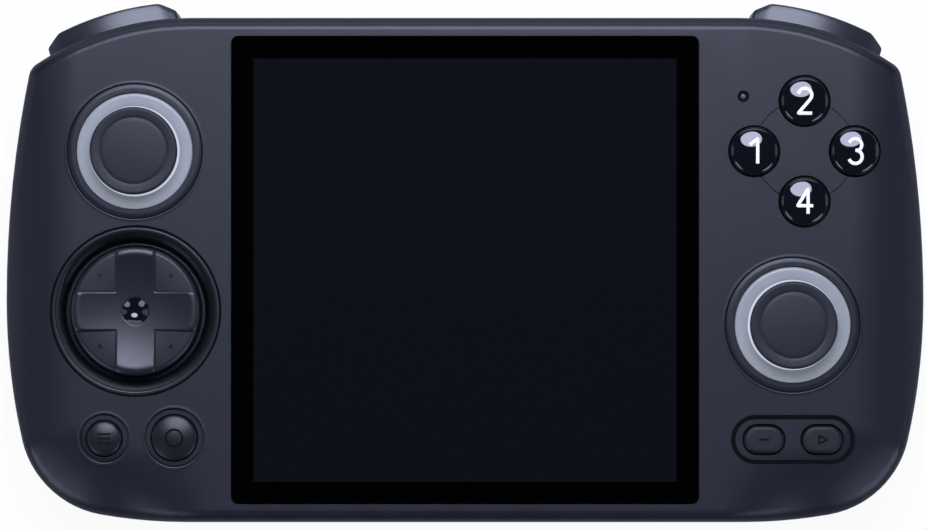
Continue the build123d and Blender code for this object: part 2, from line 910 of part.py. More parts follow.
def stick_base(spot):
    """The stick module's housing: a bored block, four ears for the board and a turret for the yokes."""
    bore_z = pivot_z - base_bore_drop
    rim_z = board_top_z + base_rim_rise
    block = slab(base_side, base_side, base_floor_z, rim_z, 0, 0, base_corner)
    ears = slab(base_side + 2 * ear_reach, ear_width, board_top_z, rim_z)
    block += ears
    block -= disc(base_bore_radius, bore_z, rim_z + overrun)
    turret = disc(turret_radius, base_floor_z, pivot_z + turret_rise)
    block += turret
    inner = turret_radius - turret_wall
    well_z = pivot_z - hub_radius - press_travel - 3 * gap
    block -= disc(inner, well_z, pivot_z + turret_rise + overrun)
    bore = yoke_pin_radius + running
    block -= Pos(0, 0, pivot_z) * Rot(0, 90, 0) * Cylinder(bore, 2 * turret_radius)
    block -= Pos(0, 0, pivot_z) * Rot(90, 0, 0) * Cylinder(bore, 2 * turret_radius)
    for x in ear_hole_xs():
        block -= disc(ear_hole_radius, board_top_z - overrun, rim_z + overrun, x, 0)
    return Pos(*spot, 0) * block


def ear_hole_xs():
    """Where the screw holes lie in a stick module's ears, from its middle."""
    return [side * (base_side / 2 + board_hole_gap + (ear_reach - board_hole_gap) / 2) for side in (1, -1)]


def stick_screws():
    """The four screws that hold the stick modules' ears to the board."""
    rim_z = board_top_z + base_rim_rise
    screws = None
    for x, y in sticks.values():
        for ear_x in ear_hole_xs():
            screw = disc(stick_screw_radius, board_low_z, rim_z, x + ear_x, y)
            screw += disc(stick_screw_head_radius, rim_z, rim_z + stick_screw_head_height, x + ear_x, y)
            screws = screw if screws is None else screws + screw
    return screws


def stick_lower_yoke(spot):
    """The lower yoke: a cradle along X with a pin at each end, and an eye that carries the hub."""
    inner = turret_radius - turret_wall - yoke_pin_gap
    bar = Pos(0, 0, pivot_z) * Box(2 * inner, lower_yoke_width, lower_yoke_height)
    bar += disc(lower_yoke_eye, pivot_z - hub_half_height, pivot_z + hub_half_height)
    bar -= disc(hub_radius + running, pivot_z - lower_yoke_eye, pivot_z + lower_yoke_eye)
    pins = Pos(0, 0, pivot_z) * Rot(0, 90, 0) * Cylinder(yoke_pin_radius, 2 * turret_radius - yoke_pin_gap)
    pins -= disc(inner - yoke_pin_gap, pivot_z - yoke_pin_radius - slip, pivot_z + yoke_pin_radius + slip)
    yoke = bar + pins
    yoke -= Pos(0, 0, pivot_z) * Rot(90, 0, 0) * Cylinder(hub_pin_radius + running, 2 * turret_radius)
    return Pos(*spot, 0) * yoke


def stick_hub(spot):
    """The ball hub that turns in the lower yoke on its own pin and lets the stem slide."""
    hub = Pos(0, 0, pivot_z) * Sphere(hub_radius)
    hub &= disc(hub_radius, pivot_z - hub_half_height, pivot_z + hub_half_height)
    pin_length = 2 * (lower_yoke_eye - slip)
    hub += Pos(0, 0, pivot_z) * Rot(90, 0, 0) * Cylinder(hub_pin_radius, pin_length)
    hub -= disc(stem_radius + running, pivot_z - hub_radius, pivot_z + hub_radius)
    return Pos(*spot, 0) * hub


def stick_upper_yoke(spot):
    """The upper yoke: a slotted arch along Y with a pin at each end, turned by the stem."""
    outer = upper_yoke_inner + upper_yoke_thickness
    arch = Pos(0, 0, pivot_z) * Rot(0, 90, 0) * (
        Cylinder(outer, upper_yoke_width) - Cylinder(upper_yoke_inner, upper_yoke_width)
    )
    arch &= slab(upper_yoke_width, 2 * outer, pivot_z, pivot_z + outer)
    slot = 2 * (stem_radius + yoke_slot_gap)
    arch -= slab(slot, 2 * upper_yoke_inner, pivot_z, pivot_z + 2 * outer)
    inner = turret_radius - turret_wall - yoke_pin_gap
    for side in (1, -1):
        y = side * (upper_yoke_inner + inner) / 2
        arch += Pos(0, y, pivot_z) * Box(upper_yoke_leg * 2, inner - upper_yoke_inner, upper_yoke_leg)
        reach = turret_radius - yoke_pin_gap / 2 - upper_yoke_inner
        middle = side * (turret_radius - yoke_pin_gap / 2 + upper_yoke_inner) / 2
        arch += Pos(0, middle, pivot_z) * Rot(90, 0, 0) * Cylinder(yoke_pin_radius, reach)
    return Pos(*spot, 0) * arch


def stick_stem(spot):
    """The stem that slides in the hub and carries the cap."""
    top = face_z + cap_top_rise - stem_socket_floor - running
    return disc(stem_radius, pivot_z - hub_radius - gap, top, *spot)


def stick_cap(spot):
    """The thumb cap: a dished top, an undercut rim, a neck and the domed skirt that closes the ring."""
    top = face_z + cap_top_rise
    edge = face_z + cap_edge_rise
    rim_inner = cap_radius - cap_rim_width
    cap = turned(
        [
            (0, top),
            (cap_radius - cap_edge_round, top),
            (cap_radius, top - cap_edge_round),
            (cap_radius, edge),
            (cap_under_radius, face_z + cap_under_rise),
            (0, face_z + cap_under_rise),
        ]
    )
    dish_radius = (rim_inner**2 + cap_dish_depth**2) / (2 * cap_dish_depth)
    cap -= Pos(0, 0, top - cap_dish_depth + dish_radius) * Sphere(dish_radius)
    skirt = Pos(0, 0, pivot_z) * (Sphere(skirt_radius) - Sphere(skirt_radius - skirt_thickness))
    low = pivot_z + skirt_radius * cos(radians(skirt_low_angle))
    skirt &= disc(skirt_radius + overrun, low, pivot_z + skirt_radius)
    cap += skirt
    neck_low = pivot_z + skirt_radius * cos(radians(skirt_high_angle)) - skirt_thickness
    cap += disc(neck_radius, neck_low, face_z + cap_under_rise)
    cap -= disc(stem_radius + running, neck_low - overrun, top - stem_socket_floor)
    return Pos(*spot, 0) * cap


def arrow_mark(turn):
    """A small triangle that points out from the pad's middle, sunk in one quadrant."""
    side = pad_mark_side
    plan = make_face(Polyline((-side / 2, 0), (side / 2, 0), (0, side / 2), close=True))
    low = face_z + pad_quadrant_rise - pad_mark_depth
    mark = Pos(0, pad_mark_spot * sqrt(2), low) * extrude(plan, pad_mark_depth + overrun)
    return Rot(0, 0, turn) * mark


def cross_pad():
    """The pad: a round body with a raised, dished cross, a centre dimple, a flange and a pivot tip."""
    quadrant_z = face_z + pad_quadrant_rise
    body = turned(
        [
            (0, pad_flange_low_z),
            (pad_flange_radius, pad_flange_low_z),
            (pad_flange_radius, pad_flange_top_z),
            (pad_radius, pad_flange_top_z),
            (pad_radius, face_z - well_depth),
            (pad_radius - pad_skirt_flare, quadrant_z - pad_arm_fillet),
            (pad_radius - pad_skirt_flare - pad_arm_fillet, quadrant_z),
            (0, quadrant_z),
        ]
    )
    for turn in (45, 135, 225, 315):
        body -= arrow_mark(turn)
    high = face_z + pad_rise
    arms = slab(pad_arm_length, pad_arm_width, pad_flange_top_z, high)
    arms += slab(pad_arm_width, pad_arm_length, pad_flange_top_z, high)
    arms &= disc(pad_radius - pad_skirt_flare / 2, pad_flange_top_z, high)
    arms = fillet(arms.faces().sort_by(Axis.Z)[-1].edges(), pad_arm_fillet)
    sag = pad_dish_radius - sqrt(pad_dish_radius**2 - (pad_arm_length / 2) ** 2)
    arms -= Pos(0, 0, high + pad_dish_radius - sag + pad_arm_fillet) * Sphere(pad_dish_radius)
    pad = body + arms
    floor = high - sag + pad_arm_fillet
    rise = sqrt(pad_dimple_radius**2 - pad_dimple_half_width**2)
    pad -= Pos(0, 0, floor + rise) * Sphere(pad_dimple_radius)
    pad += disc(pad_stem_radius, pad_pivot_z + pad_tip_radius / 2, pad_flange_low_z)
    pad += Pos(0, 0, pad_pivot_z) * Sphere(pad_tip_radius)
    return Pos(pad_x, pad_y, 0) * pad


def pad_pillar():
    """The rubber pillar under the pad's tip, which leans with the pad."""
    pillar = disc(pillar_radius, board_top_z + pillar_gap, pad_pivot_z - pillar_top_drop)
    pillar -= Pos(0, 0, pad_pivot_z) * Sphere(pad_tip_radius + running)
    return Pos(pad_x, pad_y, 0) * pillar


def rubber_dome(x, y, radius, top_z):
    """One rubber dome between a membrane's sheet and the button that it lifts."""
    low = board_top_z + sheet_thickness
    cone = Pos(x, y, (low + top_z) / 2) * Cone(radius, radius - dome_taper, top_z - low)
    return cone


def pad_membrane():
    """The cross pad's membrane: a round sheet with a dome under each arm."""
    sheet = disc(pad_flange_radius, board_top_z, board_top_z + sheet_thickness)
    reach = pad_radius - pad_arm_width / 2
    for x, y in ((reach, 0), (-reach, 0), (0, reach), (0, -reach)):
        sheet += rubber_dome(x, y, pad_arm_width / 2 - dome_inset, pad_flange_low_z)
    sheet -= disc(pillar_radius + dome_inset, board_top_z, pad_flange_low_z)
    return Pos(pad_x, pad_y, 0) * sheet


def membrane(spots, radius):
    """A sheet with one dome for each round button of a group."""
    sheet = None
    for x, y in spots:
        lobe = disc(radius + flange_width, board_top_z, board_top_z + sheet_thickness, x, y)
        sheet = lobe if sheet is None else sheet + lobe
    xs = [x for x, y in spots]
    ys = [y for x, y in spots]
    width = max(max(xs) - min(xs), membrane_margin)
    length = max(max(ys) - min(ys), membrane_margin)
    middle = ((max(xs) + min(xs)) / 2, (max(ys) + min(ys)) / 2)
    if length > radius:
        web = slab(width / sqrt(2), length / sqrt(2), board_top_z, board_top_z + sheet_thickness)
        sheet += Pos(*middle, 0) * Rot(0, 0, 45) * web
    else:
        sheet += slab(width, radius, board_top_z, board_top_z + sheet_thickness, *middle)
    for x, y in spots:
        sheet += rubber_dome(x, y, radius - dome_inset, flange_low_z)
    return sheet


def domed_button(spot, radius, rise, dome, bevel):
    """A round button with a domed top and a retaining flange under the cover."""
    side_z = face_z + rise - dome
    curve = (radius**2 + dome**2) / (2 * dome)
    half_z = side_z + dome - curve + sqrt(curve**2 - (radius / 2) ** 2)
    top = ThreePointArc((radius, side_z), (radius / 2, half_z), (0, side_z + dome))
    rest = Polyline((0, side_z + dome), (0, flange_low_z), (radius, flange_low_z), (radius, side_z))
    profile = make_face([top, rest])
    shoulder = [v for v in profile.vertices() if abs(v.X - radius) + abs(v.Y - side_z) < slip]
    button = revolve(Plane.XZ * chamfer(shoulder, bevel), Axis.Z)
    button += disc(radius + flange_width, flange_low_z, flange_top_z)
    return Pos(*spot, 0) * button


def option_button(name):
    """A long low button with a plain sunk mark: a bar for select, a triangle for start."""
    top = face_z + option_rise
    button = lozenge(option_length, option_height, flange_low_z, top)
    button = chamfer(button.faces().sort_by(Axis.Z)[-1].edges(), small_button_bevel)
    length = option_length + 2 * flange_width
    button += lozenge(length, option_height + 2 * flange_width, flange_low_z, flange_top_z)
    half = option_mark_size / 2
    if name == "start":
        plan = make_face(Polyline((-half, half), (half, 0), (-half, -half), close=True))
    else:
        plan = Rectangle(option_mark_size, option_bar_width)
    button -= Pos(0, 0, top - option_mark_depth) * extrude(plan, option_mark_depth + overrun)
    return Pos(*option_spots[name], 0) * button


def shoulder_plan(inner_v):
    """A shoulder button seen from the front: a crowned edge parallel to the body, with its ends cut back."""
    radius = top_radius + shoulder_proud
    crown_v = sqrt(radius**2 - shoulder_crown_half**2) - top_radius
    ends = [(side * shoulder_crown_half, crown_v) for side in (-1, 1)]
    crown = ThreePointArc(ends[0], (0, shoulder_proud), ends[1])
    rest = Polyline(
        (shoulder_crown_half, crown_v),
        (shoulder_half, shoulder_end_proud),
        (shoulder_half, inner_v),
        (-shoulder_half, inner_v),
        (-shoulder_half, shoulder_end_proud),
        (-shoulder_crown_half, crown_v),
    )
    plan = make_face([crown, rest])
    high = plan.vertices().filter_by(lambda v: v.Y > crown_v - slip)
    plan = fillet(high, shoulder_crown_corner)
    low = plan.vertices().filter_by(lambda v: abs(v.Y - shoulder_end_proud) < slip / 2)
    return fillet(low, shoulder_end_corner)


def bumper():
    """The bumper: a hollow crowned bar with an arm to its hinge pin and a plunger for its rubber key."""
    bar = Pos(0, 0, bumper_low_z) * extrude(shoulder_plan(bumper_inner_v), bumper_high_z - bumper_low_z)
    outer = bar.faces().filter_by(Axis.Z).edges().filter_by(lambda e: e.center().Y > bumper_inner_v + slip)
    bar = fillet(outer, shoulder_round)
    half = shoulder_half - bumper_wall
    bar -= box_between(
        (-half, bumper_inner_v - overrun, bumper_low_z + bumper_wall),
        (half, shoulder_end_proud, bumper_high_z - bumper_wall),
    )
    arm_plan = make_hull(
        (
            Pos(bumper_pivot_u, bumper_pivot_v) * Circle(bumper_eye_radius)
            + Pos(bumper_wall / 2 - shoulder_half, bumper_inner_v - gap) * Rectangle(bumper_wall, slip)
        ).edges()
    )
    arm_high = bumper_arm_high_z
    arm = Pos(0, 0, bumper_arm_low_z) * extrude(arm_plan, arm_high - bumper_arm_low_z)
    lug_half = bumper_wall / 2
    arm += box_between(
        (-shoulder_half, bumper_inner_v - gap, bumper_arm_low_z),
        (2 * lug_half - shoulder_half, bumper_inner_v + bumper_wall, arm_high),
    )
    side = bumper_plunger_side / 2
    middle = (bumper_low_z + bumper_high_z) / 2
    arm += box_between(
        (bumper_plunger_u - side, bumper_inner_v - slip, middle - side),
        (bumper_plunger_u + side, shoulder_end_proud + slip, middle + side),
    )
    bar += arm
    bore = bumper_pin_radius + running
    return bar - disc(bore, bumper_low_z, bumper_high_z, bumper_pivot_u, bumper_pivot_v)


def trigger():
    """The trigger: a curved paddle that reaches past the back, with a pin at each end."""
    high = trigger_high_z
    outer = Spline(
        (shoulder_proud, high),
        (trigger_waist_v, trigger_waist_z),
        (trigger_tip_outer_v, trigger_tip_z + shoulder_round),
        tangents=((0, -1), (0, -1)),
    )
    tip = (trigger_tip_outer_v - shoulder_round, trigger_tip_z)
    rest = Polyline(
        (trigger_tip_outer_v, trigger_tip_z + shoulder_round),
        tip,
        (trigger_tip_inner_v, trigger_tip_z),
        (trigger_heel_v, trigger_heel_z),
        (trigger_inner_v, trigger_axis_z - trigger_boss_radius - gap),
        (trigger_inner_v, high),
        (shoulder_proud, high),
    )
    profile = make_face([outer, rest])
    paddle = Pos(-shoulder_half, 0, 0) * extrude(Plane.YZ * profile, 2 * shoulder_half)
    plan = extrude(shoulder_plan(trigger_inner_v), high)
    paddle = paddle & plan
    boss_low = shoulder_half - trigger_boss_length
    for side in (1, -1):
        ends = sorted((side * boss_low, side * shoulder_half))
        paddle += u_bar(trigger_boss_radius, *ends, trigger_axis_v, trigger_axis_z)
        pin_ends = sorted((side * boss_low, side * (shoulder_half + trigger_pin_reach)))
        paddle += u_bar(trigger_pin_radius, *pin_ends, trigger_axis_v, trigger_axis_z)
    return paddle


def shoulder_board():
    """The small circuit board behind a bumper and a trigger."""
    half = pad_board_length / 2
    return box_between(
        (-half, notch_wall_v, pad_board_low_z),
        (half, notch_wall_v + pad_board_thickness, pad_board_high_z),
    )


def shoulder_keys():
    """The two rubber keys on the shoulder board, one for the bumper and one for the trigger."""
    low_v = notch_wall_v + pad_board_thickness
    bumper_z = (bumper_low_z + bumper_high_z) / 2
    trigger_z = pad_board_low_z + key_pad_height / 2
    half = key_pad_length / 2
    tall = key_pad_height / 2
    keys = box_between(
        (bumper_plunger_u - half, low_v, bumper_z - tall),
        (bumper_plunger_u + half, bumper_inner_v - slip, bumper_z + tall),
    )
    keys += box_between((-half, low_v, trigger_z - tall), (half, trigger_inner_v - slip, trigger_z + tall))
    return keys


def bumper_pin():
    """The steel pin that a bumper turns on."""
    return disc(bumper_pin_radius, bumper_pin_low_z(), under_face_z, bumper_pivot_u, bumper_pivot_v)


def volume_rocker():
    """The volume rocker, with a flange inside the wall and a nub that it rocks on."""
    high = half_height + edge_key_proud
    flange_y = half_height - wall - volume_flange_gap
    return edge_key(volume_x, volume_length, high, flange_y, key_seat_y())


def power_key():
    """The power key, with a flange inside the wall."""
    high = half_height + edge_key_proud
    flange_y = half_height - wall - power_flange_gap
    return edge_key(power_x, power_length, high, flange_y, key_seat_y() + edge_key_travel)


def edge_key(x, length, high, flange_y, nub_y):
    """A key in the top wall, with its flange behind the wall and a nub behind the flange."""
    key = edge_bar(length, edge_key_height, flange_y, high, x, edge_key_z, edge_key_corner)
    front = key.faces().sort_by(Axis.Y)[-1]
    key = chamfer(front.edges(), small_button_bevel)
    flange_low = flange_y - edge_key_flange_thickness
    wide = length + 2 * edge_key_flange
    tall = edge_key_height + edge_key_flange
    key += edge_bar(wide, tall, flange_low, flange_y, x, edge_key_z, edge_key_corner)
    nub = extrude(Plane.XZ * Circle(volume_nub_radius), flange_low - nub_y)
    return key + Pos(x, flange_low, edge_key_z) * nub


def key_seat_y():
    """Where the nub of the volume rocker rests against its switch."""
    return board_edge_y() - edge_key_seat_gap


def board_edge_y():
    """The board's top edge."""
    return half_height - board_inset


def main_board():
    """The main board, cut out for the sticks, screws and shoulders, with the top keys' switches."""
    board = Pos(0, 0, board_low_z) * extrude(outline(board_inset), board_thickness)
    for x, y in sticks.values():
        side = base_side + 2 * board_hole_gap
        board -= slab(side, side, board_low_z - overrun, board_top_z + overrun, x, y, base_corner)
        for ear_x in ear_hole_xs():
            hole = stick_screw_radius + running
            board -= disc(hole, board_low_z - overrun, board_top_z + overrun, x + ear_x, y)
    for x, y in boss_spots():
        board -= disc(boss_radius + board_hole_gap, board_low_z - overrun, board_top_z + overrun, x, y)
    for x, y in post_spots():
        board -= disc(board_screw_radius + slip, board_low_z - overrun, board_top_z + overrun, x, y)
    reach = notch_half + rib_thickness + board_hole_gap
    room = box_between(
        (-reach, notch_wall_v - notch_wall_thickness - board_hole_gap, board_low_z - overrun),
        (reach + overrun, shoulder_proud, board_top_z + overrun),
    )
    eye = bumper_eye_radius + board_hole_gap
    room += disc(eye, board_low_z - overrun, board_top_z + overrun, bumper_pivot_u, bumper_pivot_v)
    board -= both_sides(on_shoulder(room))
    seat = key_seat_y()
    for x in (volume_x, power_x):
        low = edge_key_z - edge_key_height / 2
        board += box_between(
            (x - edge_key_height, seat - edge_key_height, low),
            (x + edge_key_height, seat - switch_gap, board_low_z),
        )
    return board


def processor_shield():
    """The metal shield over the processor."""
    return slab(shield_side, shield_side, board_top_z, board_top_z + shield_height, 0, shield_y)


def battery_pack():
    """The battery, on the floor of the rear cover."""
    low = back_z + wall
    battery = slab(battery_width, battery_length, low, low + battery_thickness, 0, battery_y)
    return fillet(battery.edges().filter_by(Axis.Y), battery_thickness / 2 - slip)


def speaker(side):
    """A small speaker behind its grille."""
    high_z = speaker_low_z + speaker_height
    face_y = wall + slip - half_height
    box = box_between(
        (-speaker_width / 2, face_y, speaker_low_z), (speaker_width / 2, face_y + speaker_depth, high_z)
    )
    box = fillet(box.edges().filter_by(Axis.Y), speaker_corner)
    return Pos(side * speaker_x, 0, 0) * box


def edge_socket(x, z, width, height, mouth_y, inward):
    """A metal edge socket: a thin tube with a back wall and a tongue inside."""
    corner = height / 2 - slip
    ends = sorted((mouth_y, mouth_y + inward * socket_length))
    shell = edge_bar(width, height, *ends, x, z, corner)
    deep = sorted((mouth_y - inward * overrun, mouth_y + inward * (socket_length - socket_wall)))
    inner_width = width - 2 * socket_wall
    inner_height = height - 2 * socket_wall
    shell -= edge_bar(inner_width, inner_height, *deep, x, z, corner - socket_wall)
    tongue = sorted((mouth_y + inward * socket_tongue_inset, mouth_y + inward * socket_length))
    tongue_width = inner_width - 2 * socket_tongue_inset
    half = socket_tongue_thickness / 2
    side = tongue_width / 2
    shell += box_between((x - side, tongue[0], z - half), (x + side, tongue[1], z + half))
    return shell


def charging_socket():
    """The charging socket in the bottom edge."""
    return edge_socket(charge_x, charge_z(), charge_width, charge_height, socket_set_back - half_height, 1)


def video_socket():
    """The video socket in the top edge."""
    return edge_socket(video_x, video_z(), video_width, video_height, half_height - socket_set_back, -1)


def headphone_socket():
    """The headphone socket: a barrel through the wall and a block behind it, bored for the plug."""
    mouth = slip - half_height
    block_y = mouth + phone_barrel_reach
    barrel = extrude(Plane.XZ * Circle(phone_barrel_radius), phone_barrel_reach)
    barrel = Pos(phone_x, block_y, phone_z()) * barrel
    back = mouth + phone_length + wall
    half = phone_block_width / 2
    block = box_between(
        (phone_x - half, block_y, phone_z() - phone_barrel_radius), (phone_x + half, back, board_low_z)
    )
    bore = extrude(Plane.XZ * Circle(phone_bore_radius), phone_length)
    return barrel + block - Pos(phone_x, mouth + phone_length, phone_z()) * bore


def card_socket():
    """The memory card socket under the board."""
    mouth = wall + slip - half_height
    low = board_low_z - card_height
    side = card_width / 2
    body = box_between((card_x - side, mouth, low), (card_x + side, mouth + card_length, board_low_z))
    half = card_slot_height / 2
    return body - box_between(
        (card_x - card_slot_width / 2, mouth - overrun, card_z() - half),
        (card_x + card_slot_width / 2, mouth + card_length - wall, card_z() + half),
    )


def status_light():
    """The clear pipe that carries the status light up from the board."""
    high = face_z - light_sink
    return disc(light_pipe_radius, board_top_z, high, light_x, light_y)


def case_screws():
    """The six screws that join the covers, put in from the back."""
    seat = screw_seat_z()
    screws = None
    for x, y in boss_spots():
        screw = disc(screw_radius, seat, screw_top_z(), x, y)
        screw += disc(screw_head_radius, seat - screw_head_height, seat, x, y)
        low = seat - screw_head_height
        recess = Pos(x, y, low) * extrude(RegularPolygon(screw_recess_radius, 6), screw_recess_depth)
        screw -= recess
        screws = screw if screws is None else screws + screw
    return screws


def board_screws():
    """The four screws that hold the board to the front cover's posts."""
    screws = None
    for x, y in post_spots():
        screw = disc(board_screw_radius, board_low_z, board_screw_top_z(), x, y)
        screw += disc(board_screw_head_radius, board_low_z - board_screw_head_height, board_low_z, x, y)
        screws = screw if screws is None else screws + screw
    return screws


def on_both_shoulders(name, shape):
    """A shoulder piece for each side, named for its side."""
    right = on_shoulder(shape)
    return {"right_" + name: right, "left_" + name: mirror(right, Plane.YZ)}


def pieces():
    """Every piece by its name, in the frame of the face's middle."""
    made = {
        "front_cover": front_cover(),
        "rear_cover": rear_cover(),
        "screen_glass": screen_glass(),
        "glass_adhesive": glass_adhesive(),
        "display_panel": display_panel(),
        "main_board": main_board(),
        "processor_shield": processor_shield(),
        "battery_pack": battery_pack(),
        "left_speaker": speaker(-1),
        "right_speaker": speaker(1),
        "cross_pad": cross_pad(),
        "cross_pad_pillar": pad_pillar(),
        "cross_pad_membrane": pad_membrane(),
        "face_button_membrane": membrane(list(face_spots.values()), face_button_radius),
        "menu_button": domed_button((menu_x, menu_y), menu_radius, menu_rise, menu_dome, small_button_bevel),
        "shortcut_button": domed_button(
            (shortcut_x, shortcut_y), shortcut_radius, shortcut_rise, shortcut_dome, small_button_bevel
        ),
        "menu_membrane": membrane([(menu_x, menu_y), (shortcut_x, shortcut_y)], menu_radius),
        "select_button": option_button("select"),
        "start_button": option_button("start"),
        "option_membrane": membrane(list(option_spots.values()), option_height / 2),
        "volume_rocker": volume_rocker(),
        "power_key": power_key(),
        "charging_socket": charging_socket(),
        "video_socket": video_socket(),
        "headphone_socket": headphone_socket(),
        "card_socket": card_socket(),
        "status_light": status_light(),
        "case_screws": case_screws(),
        "stick_screws": stick_screws(),
        "board_screws": board_screws(),
    }
    for name, spot in face_spots.items():
        made[name + "_face_button"] = domed_button(
            spot, face_button_radius, face_button_rise, face_button_dome, face_button_bevel
        )
    for name, spot in sticks.items():
        made[name + "_light_ring"] = light_ring(spot)
        made[name + "_stick_base"] = stick_base(spot)
        made[name + "_lower_yoke"] = stick_lower_yoke(spot)
        made[name + "_upper_yoke"] = stick_upper_yoke(spot)
        made[name + "_stick_hub"] = stick_hub(spot)
        made[name + "_stick_stem"] = stick_stem(spot)
        made[name + "_stick_cap"] = stick_cap(spot)
    made.update(on_both_shoulders("bumper", bumper()))
    made.update(on_both_shoulders("trigger", trigger()))
    made.update(on_both_shoulders("shoulder_board", shoulder_board()))
    made.update(on_both_shoulders("shoulder_keys", shoulder_keys()))
    made.update(on_both_shoulders("bumper_pin", bumper_pin()))
    return made


def face_middle_y(made):
    """How far the face's middle lies above the origin, which is under the middle of the whole body."""
    low = made["front_cover"].bounding_box().min.Y
    high = made["right_bumper"].bounding_box().max.Y
    return -(low + high) / 2


def main():
    """Builds every piece and writes one file for each."""
    os.makedirs("parts", exist_ok=True)
    made = pieces()
    shift = face_middle_y(made)
    for name, shape in made.items():
        export_step(Pos(0, shift, 0) * shape, f"parts/{name}.step")
    print(len(made), "pieces, face middle at Y", round(shift, 4))


if __name__ == "__main__":
    main()
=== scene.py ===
"""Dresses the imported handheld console: smooth shells, a dark screen, soft thumb sticks with light
rings, a dished cross pad, polished face buttons and a plain pale studio.

Every length is in millimetres until it goes into a mesh, and every place comes from the frame.
"""

import json

import bmesh
import bpy
import numpy as np
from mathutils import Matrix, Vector


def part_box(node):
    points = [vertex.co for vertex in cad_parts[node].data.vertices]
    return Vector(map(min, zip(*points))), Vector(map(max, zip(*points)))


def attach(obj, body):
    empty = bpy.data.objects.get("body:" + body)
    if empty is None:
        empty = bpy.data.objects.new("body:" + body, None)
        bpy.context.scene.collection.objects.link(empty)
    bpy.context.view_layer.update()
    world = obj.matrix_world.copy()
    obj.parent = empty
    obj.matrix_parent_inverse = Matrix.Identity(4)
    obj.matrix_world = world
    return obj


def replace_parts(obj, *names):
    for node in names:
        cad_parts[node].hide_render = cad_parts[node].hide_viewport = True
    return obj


bl_info = {
    "name": "Handheld console dressing",
    "version": (1, 0, 0),
    "blender": (4, 5, 0),
    "location": "3D View > Sidebar > Console",
    "description": "Builds the visible pieces of a handheld game console over its packed frame",
    "category": "Object",
}

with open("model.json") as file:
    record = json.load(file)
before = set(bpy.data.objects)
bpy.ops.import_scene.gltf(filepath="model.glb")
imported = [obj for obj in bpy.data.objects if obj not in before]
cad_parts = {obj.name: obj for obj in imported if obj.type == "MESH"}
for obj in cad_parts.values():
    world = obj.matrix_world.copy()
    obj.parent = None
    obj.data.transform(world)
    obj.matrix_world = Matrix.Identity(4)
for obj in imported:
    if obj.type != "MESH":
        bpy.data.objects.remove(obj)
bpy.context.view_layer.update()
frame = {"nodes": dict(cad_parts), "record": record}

MM = 0.001
TURN = 2 * np.pi
SIDES = ("left", "right")
PHOTO_WIDTH = 927
PHOTO_HEIGHT = 530
PHOTO_SCALE = 5.91  # pixels to a millimetre at the body's widest outline
PHOTO_BODY_X = 465.0  # the pixel column of the body's middle
PHOTO_BODY_Y = 270.0  # the pixel row of the body's middle


def low(node):
    """The lowest corner of a node, in millimetres."""
    return np.array(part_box(node)[0]) / MM


def high(node):
    """The highest corner of a node, in millimetres."""
    return np.array(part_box(node)[1]) / MM


def middle(node):
    """The middle of a node's box, in millimetres."""
    return (low(node) + high(node)) / 2


def half_width(node):
    """Half of a node's width across the face, in millimetres."""
    return (high(node)[0] - low(node)[0]) / 2


BODY_OF = {
    node: body
    for body, nodes in frame["record"]["behaviour"]["bodies"].items()
    for node in nodes
}
FACE_Z = float(high("screen_glass")[2]) + 0.05  # the glass lies just under the face
SEAM_Z = 17.0  # the two covers meet here
SHELL_MIDDLE_Y = float(middle("front_cover")[1])
BUTTON_FLANGE = 0.9  # how far the hidden flange of a round button stands out
FLANGE_DEPTH = 1.9  # from the face down to the top of a button's flange
KEY_FLANGE = 0.98  # the same for an option key
CROWN_START = 65.0  # the face rolls off at the sides, beyond this distance from the middle
CROWN_RADIUS = 30.0


# Materials


def linear(code):
    """A hex colour of the kind a paint chart gives, as linear values with full alpha."""
    parts = np.array([int(code[i : i + 2], 16) for i in (1, 3, 5)]) / 255
    curved = np.where(parts <= 0.04045, parts / 12.92, ((parts + 0.055) / 1.055) ** 2.4)
    return (*[float(value) for value in curved], 1.0)


def tone(colour):
    """A hex code, or the name of a colour setting, as linear values with full alpha."""
    if colour.startswith("#"):
        return linear(colour)
    return (*getattr(bpy.context.scene.console_colours, colour), 1.0)


def add_node(tree, kind, inputs=None, **settings):
    """Adds one node. Settings are its properties; an input is a value or another node's output."""
    node = tree.nodes.new(kind)
    for name, value in settings.items():
        setattr(node, name, value)
    for key, value in (inputs or {}).items():
        if isinstance(value, bpy.types.NodeSocket):
            tree.links.new(value, node.inputs[key])
        else:
            node.inputs[key].default_value = value
    return node


def empty_tree(owner):
    """The node tree of a material or a world, cleared."""
    owner.use_nodes = True
    owner.node_tree.nodes.clear()
    return owner.node_tree


def new_material(name, sockets):
    """A material of one Principled node with these constants on its sockets. Gives the material,
    its tree, that node and the object's own coordinates."""
    material = bpy.data.materials.new(name)
    tree = empty_tree(material)
    shader = add_node(tree, "ShaderNodeBsdfPrincipled", sockets)
    add_node(tree, "ShaderNodeOutputMaterial", {"Surface": shader.outputs["BSDF"]})
    place = add_node(tree, "ShaderNodeTexCoord").outputs["Object"]
    return material, tree, shader, place


def speckle(tree, place, size, detail=2.0):
    """A noise from 0 to 1, in patches of a size in millimetres."""
    inputs = {"Vector": place, "Scale": 1 / (size * MM), "Detail": detail}
    return add_node(tree, "ShaderNodeTexNoise", inputs).outputs["Fac"]


def two_tone(tree, shader, fac, dark, light):
    """Base colour between two tones, by a factor from 0 to 1."""
    tones = {"Factor": fac, "A": tone(dark), "B": tone(light)}
    mix = add_node(tree, "ShaderNodeMix", tones, data_type="RGBA")
    tree.links.new(mix.outputs["Result"], shader.inputs["Base Color"])


def rise(tree, shader, height, depth):
    """Bump of a real depth in millimetres."""
    inputs = {"Height": height, "Distance": depth * MM, "Strength": 1.0}
    bump = add_node(tree, "ShaderNodeBump", inputs)
    tree.links.new(bump.outputs["Normal"], shader.inputs["Normal"])


